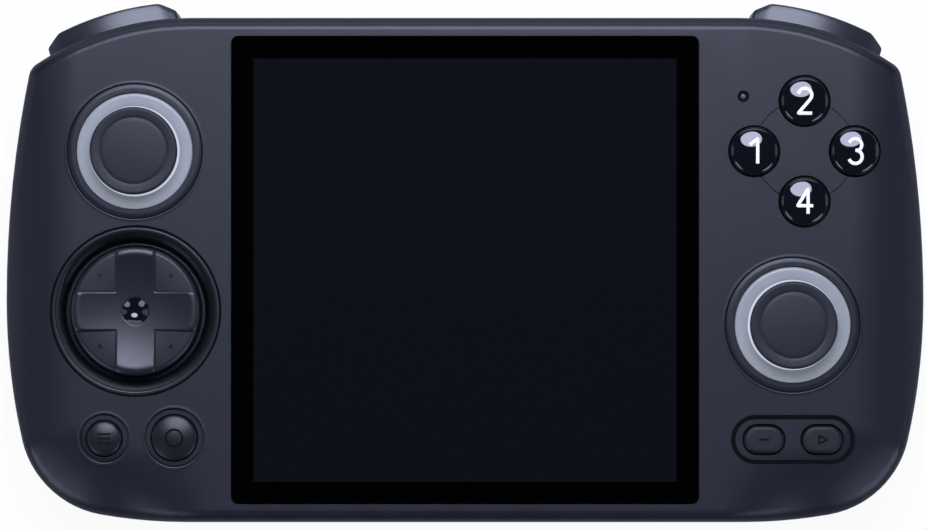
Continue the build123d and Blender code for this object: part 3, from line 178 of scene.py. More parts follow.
def moulded(name, dark, light, roughness, grain, depth, shine=0.5, more=None):
    """A moulded plastic with a fine texture etched in its tool: nearly one colour, in patches of 12
    grains, with a soft shine. Grain and depth are in millimetres."""
    sockets = {"Roughness": roughness, "IOR": 1.5, "Specular IOR Level": shine}
    material, tree, shader, place = new_material(name, {**sockets, **(more or {})})
    two_tone(tree, shader, speckle(tree, place, grain * 12, 3.0), dark, light)
    rise(tree, shader, speckle(tree, place, grain), depth)
    return material


def polished(name, colour, roughness, coat=0.0):
    """A polished plastic face: one deep colour, with faint ripples from moulding."""
    sockets = {
        "Base Color": tone(colour),
        "Roughness": roughness,
        "IOR": 1.5,
        "Coat Weight": coat,
        "Coat Roughness": 0.03,
    }
    material, tree, shader, place = new_material(name, sockets)
    rise(tree, shader, speckle(tree, place, 2.5), 0.001)
    return material


def metal(name, colour, roughness, grain):
    """A metal with short scratches of one spacing."""
    sockets = {"Base Color": tone(colour), "Metallic": 1.0, "Roughness": roughness}
    material, tree, shader, place = new_material(name, sockets)
    rise(tree, shader, speckle(tree, place, grain), 0.004)
    return material


def light_guide_with_painted_glow(name, roughness, glow, strength, more=None):
    """Clouded polycarbonate, pale from the light that scatters inside it. Its emission is painted
    light, a glow that no lamp gives.
    """
    sockets = {
        "Roughness": roughness,
        "IOR": 1.58,
        "Emission Color": linear(glow),
        "Emission Strength": strength,
    }
    material, tree, shader, place = new_material(name, {**sockets, **(more or {})})
    two_tone(tree, shader, speckle(tree, place, 1.5), "ring_dark", "ring_light")
    return material


def cover_glass(name):
    """Cover glass with a black printed border. Inside the border the switched-off display is a shade
    bluer and lighter than the print, because its layers scatter a little light."""
    material, tree, shader, place = new_material(name, {"Roughness": 0.05, "IOR": 1.5})
    sides = add_node(tree, "ShaderNodeSeparateXYZ", {"Vector": place}).outputs
    half = length("display_side") / 2 * MM
    inside = []
    for axis, centre in (("X", 0.0), ("Y", SHELL_MIDDLE_Y * MM)):
        limits = {0: sides[axis], 1: centre, 2: half}
        inside.append(add_node(tree, "ShaderNodeMath", limits, operation="COMPARE").outputs[0])
    both = add_node(tree, "ShaderNodeMath", {0: inside[0], 1: inside[1]}, operation="MULTIPLY")
    two_tone(tree, shader, both.outputs[0], "border", "display")
    return material


FROSTING = {
    "Subsurface Weight": 0.25,
    "Subsurface Scale": 0.6 * MM,
    "Subsurface Radius": (1.0, 1.0, 1.0),
}
PRINT_PAINTED_GLOW = {"Emission Color": linear("#F4F8FF"), "Emission Strength": 0.18}

# How each finish is made: its maker, then the maker's own values. A moulded one has its darker and its
# lighter tone, roughness, grain and depth in millimetres, and the strength of its shine.
FINISHES = {
    # ABS from a spark-eroded tool, whose etched grain spreads every highlight into a soft glow. The
    # real grain of 0.05 mm is too fine to see here, so it is drawn at 0.3 mm.
    "shell": (moulded, "abs_spark_texture", "shell_dark", "shell_light", 0.35, 0.3, 0.004, 0.47),
    # The same ABS from a smoother tool, so that the shoulders show a brighter, narrower highlight
    "shoulder": (moulded, "shoulder_abs_semigloss", "#2A2C34", "#2E3038", 0.24, 0.3, 0.0015, 0.55),
    "screen": (cover_glass, "cover_glass_with_black_border"),
    # The light guide's frosted face, with a faint painted glow, and its polished slope, whose strong
    # glow is a painted highlight
    "ring": (light_guide_with_painted_glow, "frosted_polycarbonate_painted_glow", 0.32, "#F6F8FF", 0.065, FROSTING),
    "ring_painted_highlight": (light_guide_with_painted_glow, "polycarbonate_painted_highlight", 0.15, "#E3ECFF", 0.62),
    # Thick white pad print, with a painted glow in its emission that makes it shine on the black
    "print": (moulded, "white_pad_print", "#F4F4F2", "#FBFBF9", 0.5, 0.2, 0.001, 0.5, PRINT_PAINTED_GLOW),
    "mark": (moulded, "dark_pad_print", "mark", "mark", 0.7, 0.2, 0.001, 0.15),
    # Soft thermoplastic rubber, matt with a faint bloom that greys it at low angles
    "cap": (
        *(moulded, "soft_grip_rubber", "cap_dark", "cap_light", 0.44, 0.25, 0.005, 0.45),
        {"Sheen Weight": 0.03},
    ),
    # Acetal, which leaves its tool with a waxy satin; thumbs polish the raised cross
    "pad": (moulded, "pad_pom_satin", "pad_dark", "pad_light", 0.36, 0.25, 0.002, 0.48),
    "cross": (moulded, "cross_pom_semigloss", "cross_dark", "cross_light", 0.33, 0.3, 0.0015, 0.62),
    "keys": (moulded, "option_key_satin", "small_dark", "small_light", 0.42, 0.25, 0.002, 0.4),
    "small": (moulded, "small_button_satin", "small_dark", "small_light", 0.33, 0.25, 0.002, 0.44),
    # Hard polished plastic: the lamps show in it as sharp shapes
    "jet": (polished, "button_polished_black", "face_button", 0.05, 0.6),
    "clear": (polished, "light_pipe_acrylic", "#5A5E68", 0.3),
    "panel": (polished, "display_back", "#2A2B2E", 0.3),
    # Black linings: satin in the pad's well, and painted shade in dead matt black on the floors of the
    # grooves
    "well": (moulded, "well_satin_black", "#08090C", "#0B0C10", 0.4, 0.3, 0.002, 0.2),
    "shade": (moulded, "groove_painted_shade_black", "#06070B", "#090A0F", 0.85, 0.3, 0.003, 0.15),
    # What the case holds, each with the plain look of its own stuff
    "black": (moulded, "black_nylon", "#131315", "#18181B", 0.5, 0.2, 0.004),
    "acetal": (moulded, "natural_acetal", "#C9C8C0", "#D3D2CA", 0.35, 0.3, 0.003),
    "silicone": (moulded, "grey_silicone", "#8B8E92", "#9A9DA1", 0.6, 0.3, 0.006),
    "board": (moulded, "solder_mask_green", "#17482F", "#1C5638", 0.35, 0.4, 0.006),
    "wrap": (moulded, "battery_wrap", "#26272A", "#2C2D31", 0.45, 0.5, 0.004),
    "tape": (moulded, "black_foam_tape", "#101012", "#161618", 0.8, 0.3, 0.01),
    "steel": (metal, "stamped_steel", "#A9A9AC", 0.32, 0.25),
    "screw": (metal, "blackened_steel", "#3A3A3E", 0.4, 0.2),
    "tin": (metal, "tinned_steel", "#B9BABD", 0.3, 0.4),
}
MATERIALS = {}


def finish(name):
    """The material of a finish, made once when it is first asked for."""
    if name not in MATERIALS:
        maker, *values = FINISHES[name]
        MATERIALS[name] = maker(*values)
    return MATERIALS[name]


# Surfaces


def shade(tidy, sharp):
    """Marks each face smooth and each corner sharper than an angle as a hard edge."""
    limit = np.radians(sharp)
    for face in tidy.faces:
        face.smooth = True
    for edge in tidy.edges:
        edge.smooth = bool(len(edge.link_faces) == 2 and edge.calc_face_angle(0.0) < limit)


def settle(mesh, gap, sharp, outward=False):
    """Joins a mesh's points that lie within a gap, drops its slivers and marks its hard edges. Its
    faces are turned outwards where they need it."""
    tidy = bmesh.new()
    tidy.from_mesh(mesh)
    bmesh.ops.remove_doubles(tidy, verts=tidy.verts, dist=gap * MM)
    bmesh.ops.dissolve_degenerate(tidy, edges=tidy.edges, dist=0.0002 * MM)
    if outward:
        bmesh.ops.recalc_face_normals(tidy, faces=tidy.faces)
    shade(tidy, sharp)
    tidy.to_mesh(mesh)
    tidy.free()


def new_object(name, data):
    """An object of some data, in the scene."""
    item = bpy.data.objects.new(name, data)
    bpy.context.scene.collection.objects.link(item)
    return item


def coat(mesh, material):
    """Gives a mesh one finish."""
    mesh.materials.clear()
    mesh.materials.append(finish(material))


def placed(name, mesh, material, node):
    """An object with one finish, which rides on the body of a node."""
    coat(mesh, material)
    piece = new_object(name, mesh)
    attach(piece, BODY_OF[node])
    return piece


def new_piece(name, surface, node, material, sharp=35.0):
    """An object from the points and faces of a surface, shaded smooth except at corners sharper than
    an angle in degrees. It rides with a node."""
    points, faces = surface
    mesh = bpy.data.meshes.new(name)
    mesh.from_pydata((np.asarray(points) * MM).tolist(), [], faces)
    settle(mesh, 0.0005, sharp, True)
    return placed(name, mesh, material, node)


def stand_in(name, surface, node, material, sharp):
    """A new piece that takes the place of its node."""
    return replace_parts(new_piece(name, surface, node, material, sharp), node)


def cad_copy(node, material, name, sharp=28.0):
    """The node's own shape with its triangles joined, smooth over its curves, in its place."""
    mesh = frame["nodes"][node].data.copy()
    mesh.name = name
    settle(mesh, 0.0004, sharp)
    piece = placed(name, mesh, material, node)
    piece.modifiers.new("even_shading", "WEIGHTED_NORMAL").keep_sharp = True
    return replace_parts(piece, node)


def grid_faces(rows, columns, wrap_rows=False):
    """The four corners of every cell of a grid whose columns join up into a loop."""
    last = rows if wrap_rows else rows - 1
    row, column = np.meshgrid(np.arange(last), np.arange(columns), indexing="ij")
    below = (row + 1) % rows * columns
    right = (column + 1) % columns
    row = row * columns
    corners = [row + column, row + right, below + right, below + column]
    return np.stack(corners, axis=-1).reshape(-1, 4).tolist()


def turned(profile, centre, steps=128, closed=False):
    """A profile of (radius, height) turned about an upright axis: x = r cos t, y = r sin t and
    z = height. A closed profile makes a ring; an open one starts and ends on the axis."""
    profile = np.asarray(profile, float)
    angle = np.arange(steps) * TURN / steps
    radius = profile[:, 0, None]
    x = centre[0] + radius * np.cos(angle)
    y = centre[1] + radius * np.sin(angle)
    z = np.broadcast_to(profile[:, 1, None], x.shape)
    return np.stack([x, y, z], -1).reshape(-1, 3), grid_faces(len(profile), steps, closed)


def eased(profile, radius, steps=5):
    """A polyline with its corners rounded: each corner becomes the quadratic blend of itself and the
    points one radius before and after it."""
    profile = np.asarray(profile, float)
    out = [profile[:1]]
    blend = np.linspace(0, 1, steps)[:, None]
    for before, corner, after in zip(profile, profile[1:], profile[2:]):
        ends = []
        for end in (before, after):
            run = np.linalg.norm(end - corner)
            ends.append(corner + (end - corner) * min(radius, run * 0.45) / max(run, 1e-9))
        curve = (1 - blend) ** 2 * ends[0] + 2 * blend * (1 - blend) * corner + blend**2 * ends[1]
        out.append(curve)
    out.append(profile[-1:])
    return np.concatenate(out)


def arc(centre, radius, start, end, steps):
    """Points on a circle between two angles in degrees: centre + radius (cos t, sin t)."""
    angle = np.radians(np.linspace(start, end, steps))
    return np.stack([centre[0] + radius * np.cos(angle), centre[1] + radius * np.sin(angle)], -1)


def rounded_outline(half_x, half_y, corner, steps=12):
    """A rectangle with round corners, anticlockwise: four quarter arcs joined by straight runs."""
    places = [(1, 1, 0), (-1, 1, 90), (-1, -1, 180), (1, -1, 270)]
    arcs = [
        arc((sx * (half_x - corner), sy * (half_y - corner)), corner, turn, turn + 90, steps)
        for sx, sy, turn in places
    ]
    return np.concatenate(arcs)


def layered(rows):
    """Rows of (outline, height) as one surface. The outlines have the same number of points."""
    points = [np.column_stack([line, np.broadcast_to(z, len(line))]) for line, z in rows]
    return np.concatenate(points), grid_faces(len(rows), len(rows[0][0]))


def moved(surface, centre):
    """A surface carried across the face to a centre."""
    points, faces = surface
    return points + (centre[0], centre[1], 0), faces


def joined(parts):
    """Several (points, faces) surfaces as one."""
    points, faces, base = [], [], 0
    for some_points, some_faces in parts:
        points.append(some_points)
        faces += [[index + base for index in face] for face in some_faces]
        base += len(some_points)
    return np.concatenate(points), faces


def smooth_step(start, end, value):
    """0 before the start and 1 beyond the end, with t t (3 - 2 t) between them."""
    t = np.clip((value - start) / (end - start), 0, 1)
    return t * t * (3 - 2 * t)


# Settings


def colour_setting(name, words, code):
    """A colour with a picker, from a paint-chart code."""
    return bpy.props.FloatVectorProperty(
        name=name, description=words, default=linear(code)[:3], subtype="COLOR", min=0.0, max=1.0
    )


def length_setting(name, words, millimetres):
    """A length, kept in metres."""
    return bpy.props.FloatProperty(
        name=name, description=words, default=millimetres * MM, subtype="DISTANCE", min=0.0
    )


def length(name):
    """A length of the settings, in millimetres."""
    return getattr(bpy.context.scene.console_sizes, name) / MM


class ConsoleColours(bpy.types.PropertyGroup):
    """Colours of the finishes. A moulded finish wanders between its darker and its lighter tone."""

    shell_dark: colour_setting("Shell, dark", "Darker tone of the shell", "#181B24")
    shell_light: colour_setting("Shell, light", "Lighter tone of the shell", "#1C1F28")
    border: colour_setting("Screen border", "Print behind the glass", "#000000")
    display: colour_setting("Display", "Switched-off display", "#0F1016")
    ring_dark: colour_setting("Ring, dark", "Darker tone of the light rings", "#90959A")
    ring_light: colour_setting("Ring, light", "Lighter tone of the light rings", "#9BA0A5")
    cap_dark: colour_setting("Cap, dark", "Darker tone of the stick caps", "#151822")
    cap_light: colour_setting("Cap, light", "Lighter tone of the stick caps", "#181B25")
    pad_dark: colour_setting("Pad, dark", "Darker tone of the cross pad", "#171A22")
    pad_light: colour_setting("Pad, light", "Lighter tone of the cross pad", "#1B1E26")
    cross_dark: colour_setting("Cross, dark", "Darker tone of the raised cross", "#15171F")
    cross_light: colour_setting("Cross, light", "Lighter tone of the raised cross", "#181A22")
    face_button: colour_setting("Face buttons", "Polished black", "#101118")
    small_dark: colour_setting("Small buttons, dark", "Darker tone of the small buttons", "#15171E")
    small_light: colour_setting("Small buttons, light", "Their lighter tone", "#191B22")
    mark: colour_setting("Marks", "Printed marks on the small buttons", "#0A0B0F")


class ConsoleSizes(bpy.types.PropertyGroup):
    """Sizes of the visible details."""

    display_side: length_setting("Display side", "Side of the square picture", 71.3)
    ring_inner: length_setting("Ring bore", "Radius of a light ring's hole", 7.0)
    ring_slope: length_setting("Ring slope", "Width of a light ring's inner slope", 0.6)
    cap_dish: length_setting("Cap dish", "Radius of the groove round a cap's middle", 5.6)
    cap_dish_depth: length_setting("Dish depth", "Depth of a cap's middle at its groove", 0.13)
    dome: length_setting("Button dome", "Crown of a face button", 0.75)
    digit: length_setting("Digit height", "Height of the numbers on the face buttons", 4.2)


# Pieces


def make_stick_cap(side):
    """The cap turned from one profile: crowned middle, shallow groove, sloping rim, undercut, neck,
    domed skirt and its inside. The middle is a flat crown, z = z0 + 0.16 (1 - (r / dish)^2)."""
    node = side + "_stick_cap"
    dish = length("cap_dish")
    top, radius = high(node)[2], half_width(node)
    floor = top - length("cap_dish_depth")
    pivot = FACE_Z - 6.0
    skirt, skirt_wall = 7.7, 0.7
    r = np.linspace(0, dish - 0.25, 12)
    crown = np.stack([r, floor + 0.16 * (1 - (r / dish) ** 2)], -1)
    rim = [
        crown[-1],
        (dish, floor - 0.05),
        (dish + 0.25, floor + 0.03),
        (radius - 0.22, top - 0.02),
        (radius - 0.02, top - 0.28),
        (radius, top - 1.5),
        (4.6, top - 2.3),
        (3.2, top - 2.5),
    ]
    angle = np.radians(np.linspace(25, 70, 18))
    bowl = np.stack([np.sin(angle), np.cos(angle)], -1)
    outside = (0, pivot) + skirt * bowl
    inside = (0, pivot) + (skirt - skirt_wall) * bowl[::-1]
    rim, end = eased(rim, 0.35, 7)[1:], [(0, inside[-1, 1])]
    profile = np.concatenate([crown, rim, outside, inside, end])
    stand_in(side + "_thumb_cap", turned(profile, middle(node)), node, "cap", 50)


def make_light_ring(side):
    """The ring turned from a closed profile: rounded outer edge, flat top and inner slope. The slope
    is polished and glows with a painted highlight; the rest is frosted, with a faint painted glow."""
    node = side + "_light_ring"
    centre = middle(node)
    top, base = high(node)[2], low(node)[2]
    slope, inner = length("ring_slope"), length("ring_inner")
    flange, flange_z = 1.1, FACE_Z - 1.8
    outer = half_width(node) - flange
    shape = [
        (inner, base),
        (inner, top - slope * 0.75),
        (inner + slope, top - 0.02),
        (inner + slope + 0.5, top),
        (outer - 0.4, top),
        (outer - 0.05, top - 0.1),
        (outer, top - 0.5),
        (outer, flange_z),
        (outer + flange, flange_z),
        (outer + flange, flange_z - 1.0),
        (outer, base),
    ]
    body = eased(shape + shape[:1], 0.16)[:-1]
    piece = stand_in(side + "_glow_ring", turned(body, centre, closed=True), node, "ring", 50)
    piece.data.materials.append(finish("ring_painted_highlight"))
    for face in piece.data.polygons:
        away = np.hypot(face.center.x / MM - centre[0], face.center.y / MM - centre[1])
        face.material_index = int(away < inner + slope and face.center.z / MM > flange_z)


def make_sticks():
    """Both thumb sticks and their rings."""
    for side in SIDES:
        make_light_ring(side)
        make_stick_cap(side)


def sphere_radius(reach, crown):
    """The radius of a sphere whose cap is this high over this reach: (reach^2 + crown^2) / 2 crown."""
    return (reach**2 + crown**2) / (2 * crown)


def crown_height(node, crown):
    """The height of a round button's crown, as a function of the distance from its middle."""
    curve = sphere_radius(half_width(node) - BUTTON_FLANGE, crown)
    centre_z = high(node)[2] - curve
    return lambda distance: centre_z + np.sqrt(np.maximum(curve**2 - np.square(distance), 0))


def make_round_button(name, node, crown, round_edge, material):
    """A round button turned from one profile: a spherical crown, an edge that leaves it at the same
    slope and turns upright on its own smaller arc, side and flange."""
    top, base = high(node)[2], low(node)[2]
    flange_radius, flange_z = half_width(node), FACE_Z - FLANGE_DEPTH
    radius = flange_radius - BUTTON_FLANGE
    curve = sphere_radius(radius, crown)
    lean = np.arcsin((radius - round_edge * 1.1) / (curve - round_edge))
    edge_radius = (radius - curve * np.sin(lean)) / (1 - np.sin(lean))
    tilt = np.linspace(0, lean, 16)
    crown_line = np.stack([curve * np.sin(tilt), top - curve * (1 - np.cos(tilt))], -1)
    tilt = np.linspace(lean, np.pi / 2, 14)[1:]
    bend = np.stack([np.sin(tilt) - np.sin(lean), np.cos(tilt) - np.cos(lean)], -1)
    rest = [(radius, flange_z), (flange_radius, flange_z), (flange_radius, base), (0.0, base)]
    profile = np.concatenate([crown_line, crown_line[-1] + edge_radius * bend, rest])
    stand_in(name, turned(profile, middle(node), 96), node, material, 40)


def stroke(path, width, thickness, centre, height_at):
    """A flat-topped line laid over a crown: a low trapezium section carried along a path of points. At
    each point the section stands square to the path, and z is the crown's height there."""
    path = np.asarray(path, float)
    along = np.gradient(path, axis=0)
    along /= np.linalg.norm(along, axis=1)[:, None]
    across = np.stack([-along[:, 1], along[:, 0]], -1)
    section = [(-0.5, -1.0), (-0.46, 0.6), (0.0, 1.0), (0.46, 0.6), (0.5, -1.0)]
    rows = []
    for index in [0, *range(len(path)), len(path) - 1]:
        for side, lift in section:
            x, y = path[index] + across[index] * side * width
            z = float(height_at(np.hypot(x, y))) + lift * thickness
            rows.append((centre[0] + x, centre[1] + y, z))
    points = np.array(rows).reshape(-1, len(section), 3)
    for end in (0, -1):
        points[end] = points[end].mean(0)
    return points.reshape(-1, 3), grid_faces(len(points), len(section))


def dense(path, step=0.12):
    """The same polyline with a point at least every step millimetres."""
    path = np.asarray(path, float)
    out = [path[:1]]
    for start, end in zip(path, path[1:]):
        count = max(int(np.ceil(np.linalg.norm(end - start) / step)), 1)
        out.append(start + (end - start) * np.linspace(0, 1, count + 1)[1:, None])
    return np.concatenate(out)


def digit_paths(digit, size):
    """The centre lines of a plain numeral, from arcs and straight runs, for a height of size."""
    half, bowl = size / 2, size * 0.27
    stem = 0.12 * size
    if digit == 1:
        lines = [[(-bowl * 0.75, half * 0.5), (stem, half), (stem, -half)]]
    elif digit == 2:
        crown = arc((0, half - bowl), bowl, 170, -35, 14)
        lines = [np.concatenate([crown, [(-bowl, -half), (bowl * 1.05, -half)]])]
    elif digit == 3:
        upper = arc((0, half - bowl * 0.94), bowl * 0.94, 160, -80, 14)
        lower = arc((0, bowl - half), bowl, 90, -160, 16)
        lines = [upper, lower]
    else:
        bar_y = -half * 0.35
        lines = [[(stem, -half), (stem, half), (-bowl * 1.1, bar_y), (bowl * 1.2, bar_y)]]
    return [dense(line) for line in lines]


def make_face_buttons():
    """Four polished domes with plain white numbers."""
    dome, size = length("dome"), length("digit")
    for digit, place in enumerate(("left", "upper", "right", "lower"), 1):
        node = place + "_face_button"
        make_round_button(place + "_action_button", node, dome, 0.8, "jet")
        height_at = crown_height(node, dome)
        lines = [
            stroke(line, size * 0.14, 0.02, middle(node), height_at)
            for line in digit_paths(digit, size)
        ]
        new_piece(place + "_number", joined(lines), node, "print", 60)


def bar_mark(name, node, shift, height_at):
    """A small rounded bar, printed on a crown at a shift from its middle."""
    half_x, half_y, lift = 1.15, 0.17, 0.03
    outline = rounded_outline(half_x, half_y, half_y * 0.95, 5)
    rows = []
    for share in (1.0, 0.9, 0.5, 0.0):
        flat = outline * share + (0.0, shift)
        rows.append((flat, height_at(np.hypot(*flat.T)) + lift * (share < 1)))
    new_piece(name, moved(layered(rows), middle(node)), node, "mark", 60)


def make_small_buttons():
    """The two small domes, with three bars on one and a ring on the other."""
    edge = 0.5
    menu, menu_crown = "menu_button", 0.45
    make_round_button("menu_dome", menu, menu_crown, edge, "small")
    for number, shift in enumerate((0.75, 0.0, -0.75)):
        bar_mark(f"menu_bar_{number}", menu, shift, crown_height(menu, menu_crown))

    shortcut, shortcut_crown = "shortcut_button", 0.6
    make_round_button("shortcut_dome", shortcut, shortcut_crown, edge, "small")
    height_at = crown_height(shortcut, shortcut_crown)
    section = [(1.2, 0.0), (1.25, 0.03), (1.55, 0.03), (1.6, 0.0), (1.4, -0.05)]
    ring = turned([(r, height_at(r) + z) for r, z in section], middle(shortcut), 64, True)
    new_piece("shortcut_ring_mark", ring, shortcut, "mark", 60)


def make_option_buttons():
    """Two long low keys: rows of one stadium outline, drawn in over a rounded edge to a flat top. A
    dash is printed on one and a triangle on the other."""
    roll, dip, flange_z = 0.55, 0.1, FACE_Z - FLANGE_DEPTH
    size = 0.85
    back, high_y = -size * 0.6, size * 0.8
    dash = [(-size, 0.0), (size, 0.0)]
    triangle = [(back, high_y), (size, 0.0), (back, -high_y), (back, high_y)]
    for node, line in (("select_button", dash), ("start_button", triangle)):
        centre, top, base = middle(node), high(node)[2], low(node)[2]
        half_x, half_y = ((high(node) - low(node)) / 2)[:2] - KEY_FLANGE

        def row(grow, z, share=1.0):
            outline = rounded_outline(half_x + grow, half_y + grow, half_y + grow - 0.02, 16)
            return outline * share, z

        rows = [
            row(KEY_FLANGE, base, 0.0),
            row(KEY_FLANGE, base),
            row(KEY_FLANGE, flange_z),
            row(0.0, flange_z),
            row(0.0, top - roll),
        ]
        for turn in np.radians(np.linspace(0, 90, 7)):
            fall = (roll + dip) * (1 - np.sin(turn))
            rows.append(row(-roll * (1 - np.cos(turn)), top - fall))
        rows += [row(-roll, top, share) for share in (0.8, 0.4, 0.0)]
        key = moved(layered(rows), centre)
        stand_in(node.replace("_button", "_key"), key, node, "keys", 40)

        mark = stroke(dense(line), 0.36, 0.03, centre, lambda distance: top)
        new_piece(node.replace("button", "mark"), mark, node, "mark", 60)


def cross_outline(arm, reach, inner=0.35, outer=0.4, steps=7):
    """A plus sign whose ends lie on a circle, as points anticlockwise. Each quarter is an end arc, a
    rounded corner, a straight side and a rounded inner corner, and the quarters are turned by 90
    degrees."""
    lean = np.degrees(np.arcsin((arm - outer) / reach))
    end = arc((0, 0), reach, -lean, lean, steps)
    shoulder = np.array([[reach * np.cos(np.radians(lean)) - outer * 0.55, arm]])
    corner = arc((arm + inner, arm + inner), inner, 270, 180, steps)
    run = np.linspace(shoulder[0], corner[0], 6)[1:-1]
    run_out = np.linspace(corner[-1], corner[-1] + (0, shoulder[0, 0] - corner[-1, 1]), 6)[1:]
    quarter = np.concatenate([end, shoulder, run, corner, run_out])
    turns = [np.array([[c, s], [-s, c]]) for c, s in ((1, 0), (0, 1), (-1, 0), (0, -1))]
    return np.concatenate([quarter @ turn for turn in turns])


def make_cross_pad():
    """The pad in three surfaces: a turned body, a dished cross and a polished dimple in its middle.
    The cross is a paraboloid, z = z0 + 1.1 (r / reach)^2, rolled off at its outline. The dimple is a
    spherical bowl. Four arrow marks stand on the body between the arms."""
    node = "cross_pad"
    centre = middle(node)
    top, base = high(node)[2], low(node)[2]
    quarter_z = FACE_Z + 0.5  # the body's top, between the arms
    flange_z = FACE_Z - 3.05
    flange_radius, radius = 12.2, 11.0
    body = [
        (0.0, quarter_z - 1.3),
        (2.8, quarter_z - 1.3),
        (2.9, quarter_z - 0.1),
        (10.3, quarter_z - 0.02),
        (10.85, quarter_z - 0.35),
        (radius, FACE_Z - 1.5),
        (radius, flange_z),
        (flange_radius, flange_z),
        (flange_radius, flange_z - 0.8),
        (1.6, flange_z - 0.8),
        (1.6, base + 1.1),
        (0.8, base + 0.9),
        (0.0, base),
    ]
    stand_in("pad_body", turned(eased(body, 0.3), centre, 160), node, "pad", 50)

    arm, reach, roll, dish = 3.38, 10.85, 1.5, 1.1
    side_roll, side_fall, tip_fall = 0.4, 0.4, 0.42
    sunk = quarter_z - 1.0
    hole, floor_z = 2.28, sunk + 0.1

    def surface(away):
        return top - 0.04 - dish * (1 - (away / reach) ** 2)

    outline = cross_outline(arm, reach)
    rows = [(outline * 0.0, sunk), (outline, sunk)]
    for turn in np.radians(np.linspace(0, 90, 9)):
        inset = 1 - np.cos(turn)
        outline = cross_outline(arm - side_roll * inset, reach - roll * inset)
        away = np.hypot(*outline.T)
        tip = np.clip((away - reach + roll + 0.6) / 1.2, 0, 1)
        drop = (side_fall + tip_fall * tip) * (1 - np.sin(turn))
        rows.append((outline, surface(away) - drop))
    ring = outline / np.hypot(*outline.T)[:, None] * hole
    for share in np.linspace(0.03, 0.97, 24):
        flat = outline * (1 - share) + ring * share
        rows.append((flat, surface(np.hypot(*flat.T))))
    rows += [(ring, surface(hole) - 0.02), (ring * 0.98, floor_z), (ring * 0.0, floor_z)]
    new_piece("pad_cross", moved(layered(rows), centre), node, "cross", 45)

    edge = surface(2.24)
    bowl_radius, curve = 2.08, 3.4
    r = np.linspace(0, bowl_radius, 16)
    lift = np.sqrt(curve**2 - bowl_radius**2) - np.sqrt(curve**2 - r**2)
    bowl = np.stack([r, edge - 0.03 + lift], -1)
    rest = [(2.16, edge + 0.02), (2.27, edge - 0.02), (2.27, sunk + 0.12), (0.0, sunk + 0.12)]
    new_piece("pad_dimple", turned(np.concatenate([bowl, rest]), centre, 72), node, "jet", 40)
    for turn in (45, 135, 225, 315):
        arrow_mark(turn, centre, quarter_z - 0.03, node)


def arrow_mark(turn, centre, z, node):
    """A small raised triangle that points out from the pad's middle: a low cut-off pyramid."""
    flat = np.array([[-0.8, -0.42], [0.8, -0.42], [0.0, 0.55]])
    away = 8.5
    c, s = np.cos(np.radians(turn - 90)), np.sin(np.radians(turn - 90))
    rows = [
        ((flat * share + (0, away)) @ [[c, s], [-s, c]], z + height)
        for share, height in ((0.0, -0.2), (1.0, -0.2), (0.3, 0.24), (0.0, 0.24))
    ]
    new_piece(f"pad_arrow_{turn}", moved(layered(rows), centre), node, "pad", 30)


def make_screen_glass():
    """The cover glass: rows of one rounded square, drawn in over a small bevel to a flat face."""
    node = "screen_glass"
    half_x, half_y = ((high(node) - low(node)) / 2)[:2]
    base, top = low(node)[2], high(node)[2]
    corner, bevel, side_fall = 1.2, 0.2, 0.3

    def row(inset, z, share=1.0):
        return rounded_outline(half_x - inset, half_y - inset, corner - inset, 10) * share, z

    rows = [row(0, base, 0.0), row(0, base), row(0, top - side_fall)]
    rows += [row(bevel, top, share) for share in (1.0, 0.99, 0.6, 0.0)]
    stand_in("cover_glass", moved(layered(rows), middle(node)), node, "screen", 25)


def roll_drop(depth):
    """The fall of the crown's circle at a distance beyond its start: R - sqrt(R^2 - d^2)."""
    return CROWN_RADIUS - np.sqrt(CROWN_RADIUS**2 - depth**2)


def crown_drop(x):
    """How far the face has rolled off at a distance x from the middle."""
    return roll_drop(np.maximum(np.abs(x) - CROWN_START, 0))


def face_trim(name, profile, centre, material):
    """A turned trim that lies on the face and follows its roll-off at the sides. A profile's heights
    are from the face."""
    profile = [(r, FACE_Z + z) for r, z in profile]
    points, faces = turned(profile, centre, 192, closed=True)
    points[:, 2] -= crown_drop(points[:, 0])
    new_piece(name, (points, faces), "front_cover", material, 60)


def lip(name, inner, centre):
    """A low bead on the face round a recess of a radius."""
    shape = [(0.0, -0.3), (0.0, 0.012), (0.06, 0.034), (0.16, 0.03), (0.5, 0.003), (0.45, -0.1)]
    face_trim(name, [(inner + r, z) for r, z in shape], centre, "shell")


def groove_painted_shade(name, inner, outer, depth, centre):
    """A black ring of painted shade on the floor of a round groove."""
    under = -depth - 0.1
    shape = [(inner, under), (inner, -depth), (outer, -depth), (outer, under)]
    face_trim(name, shape, centre, "shade")


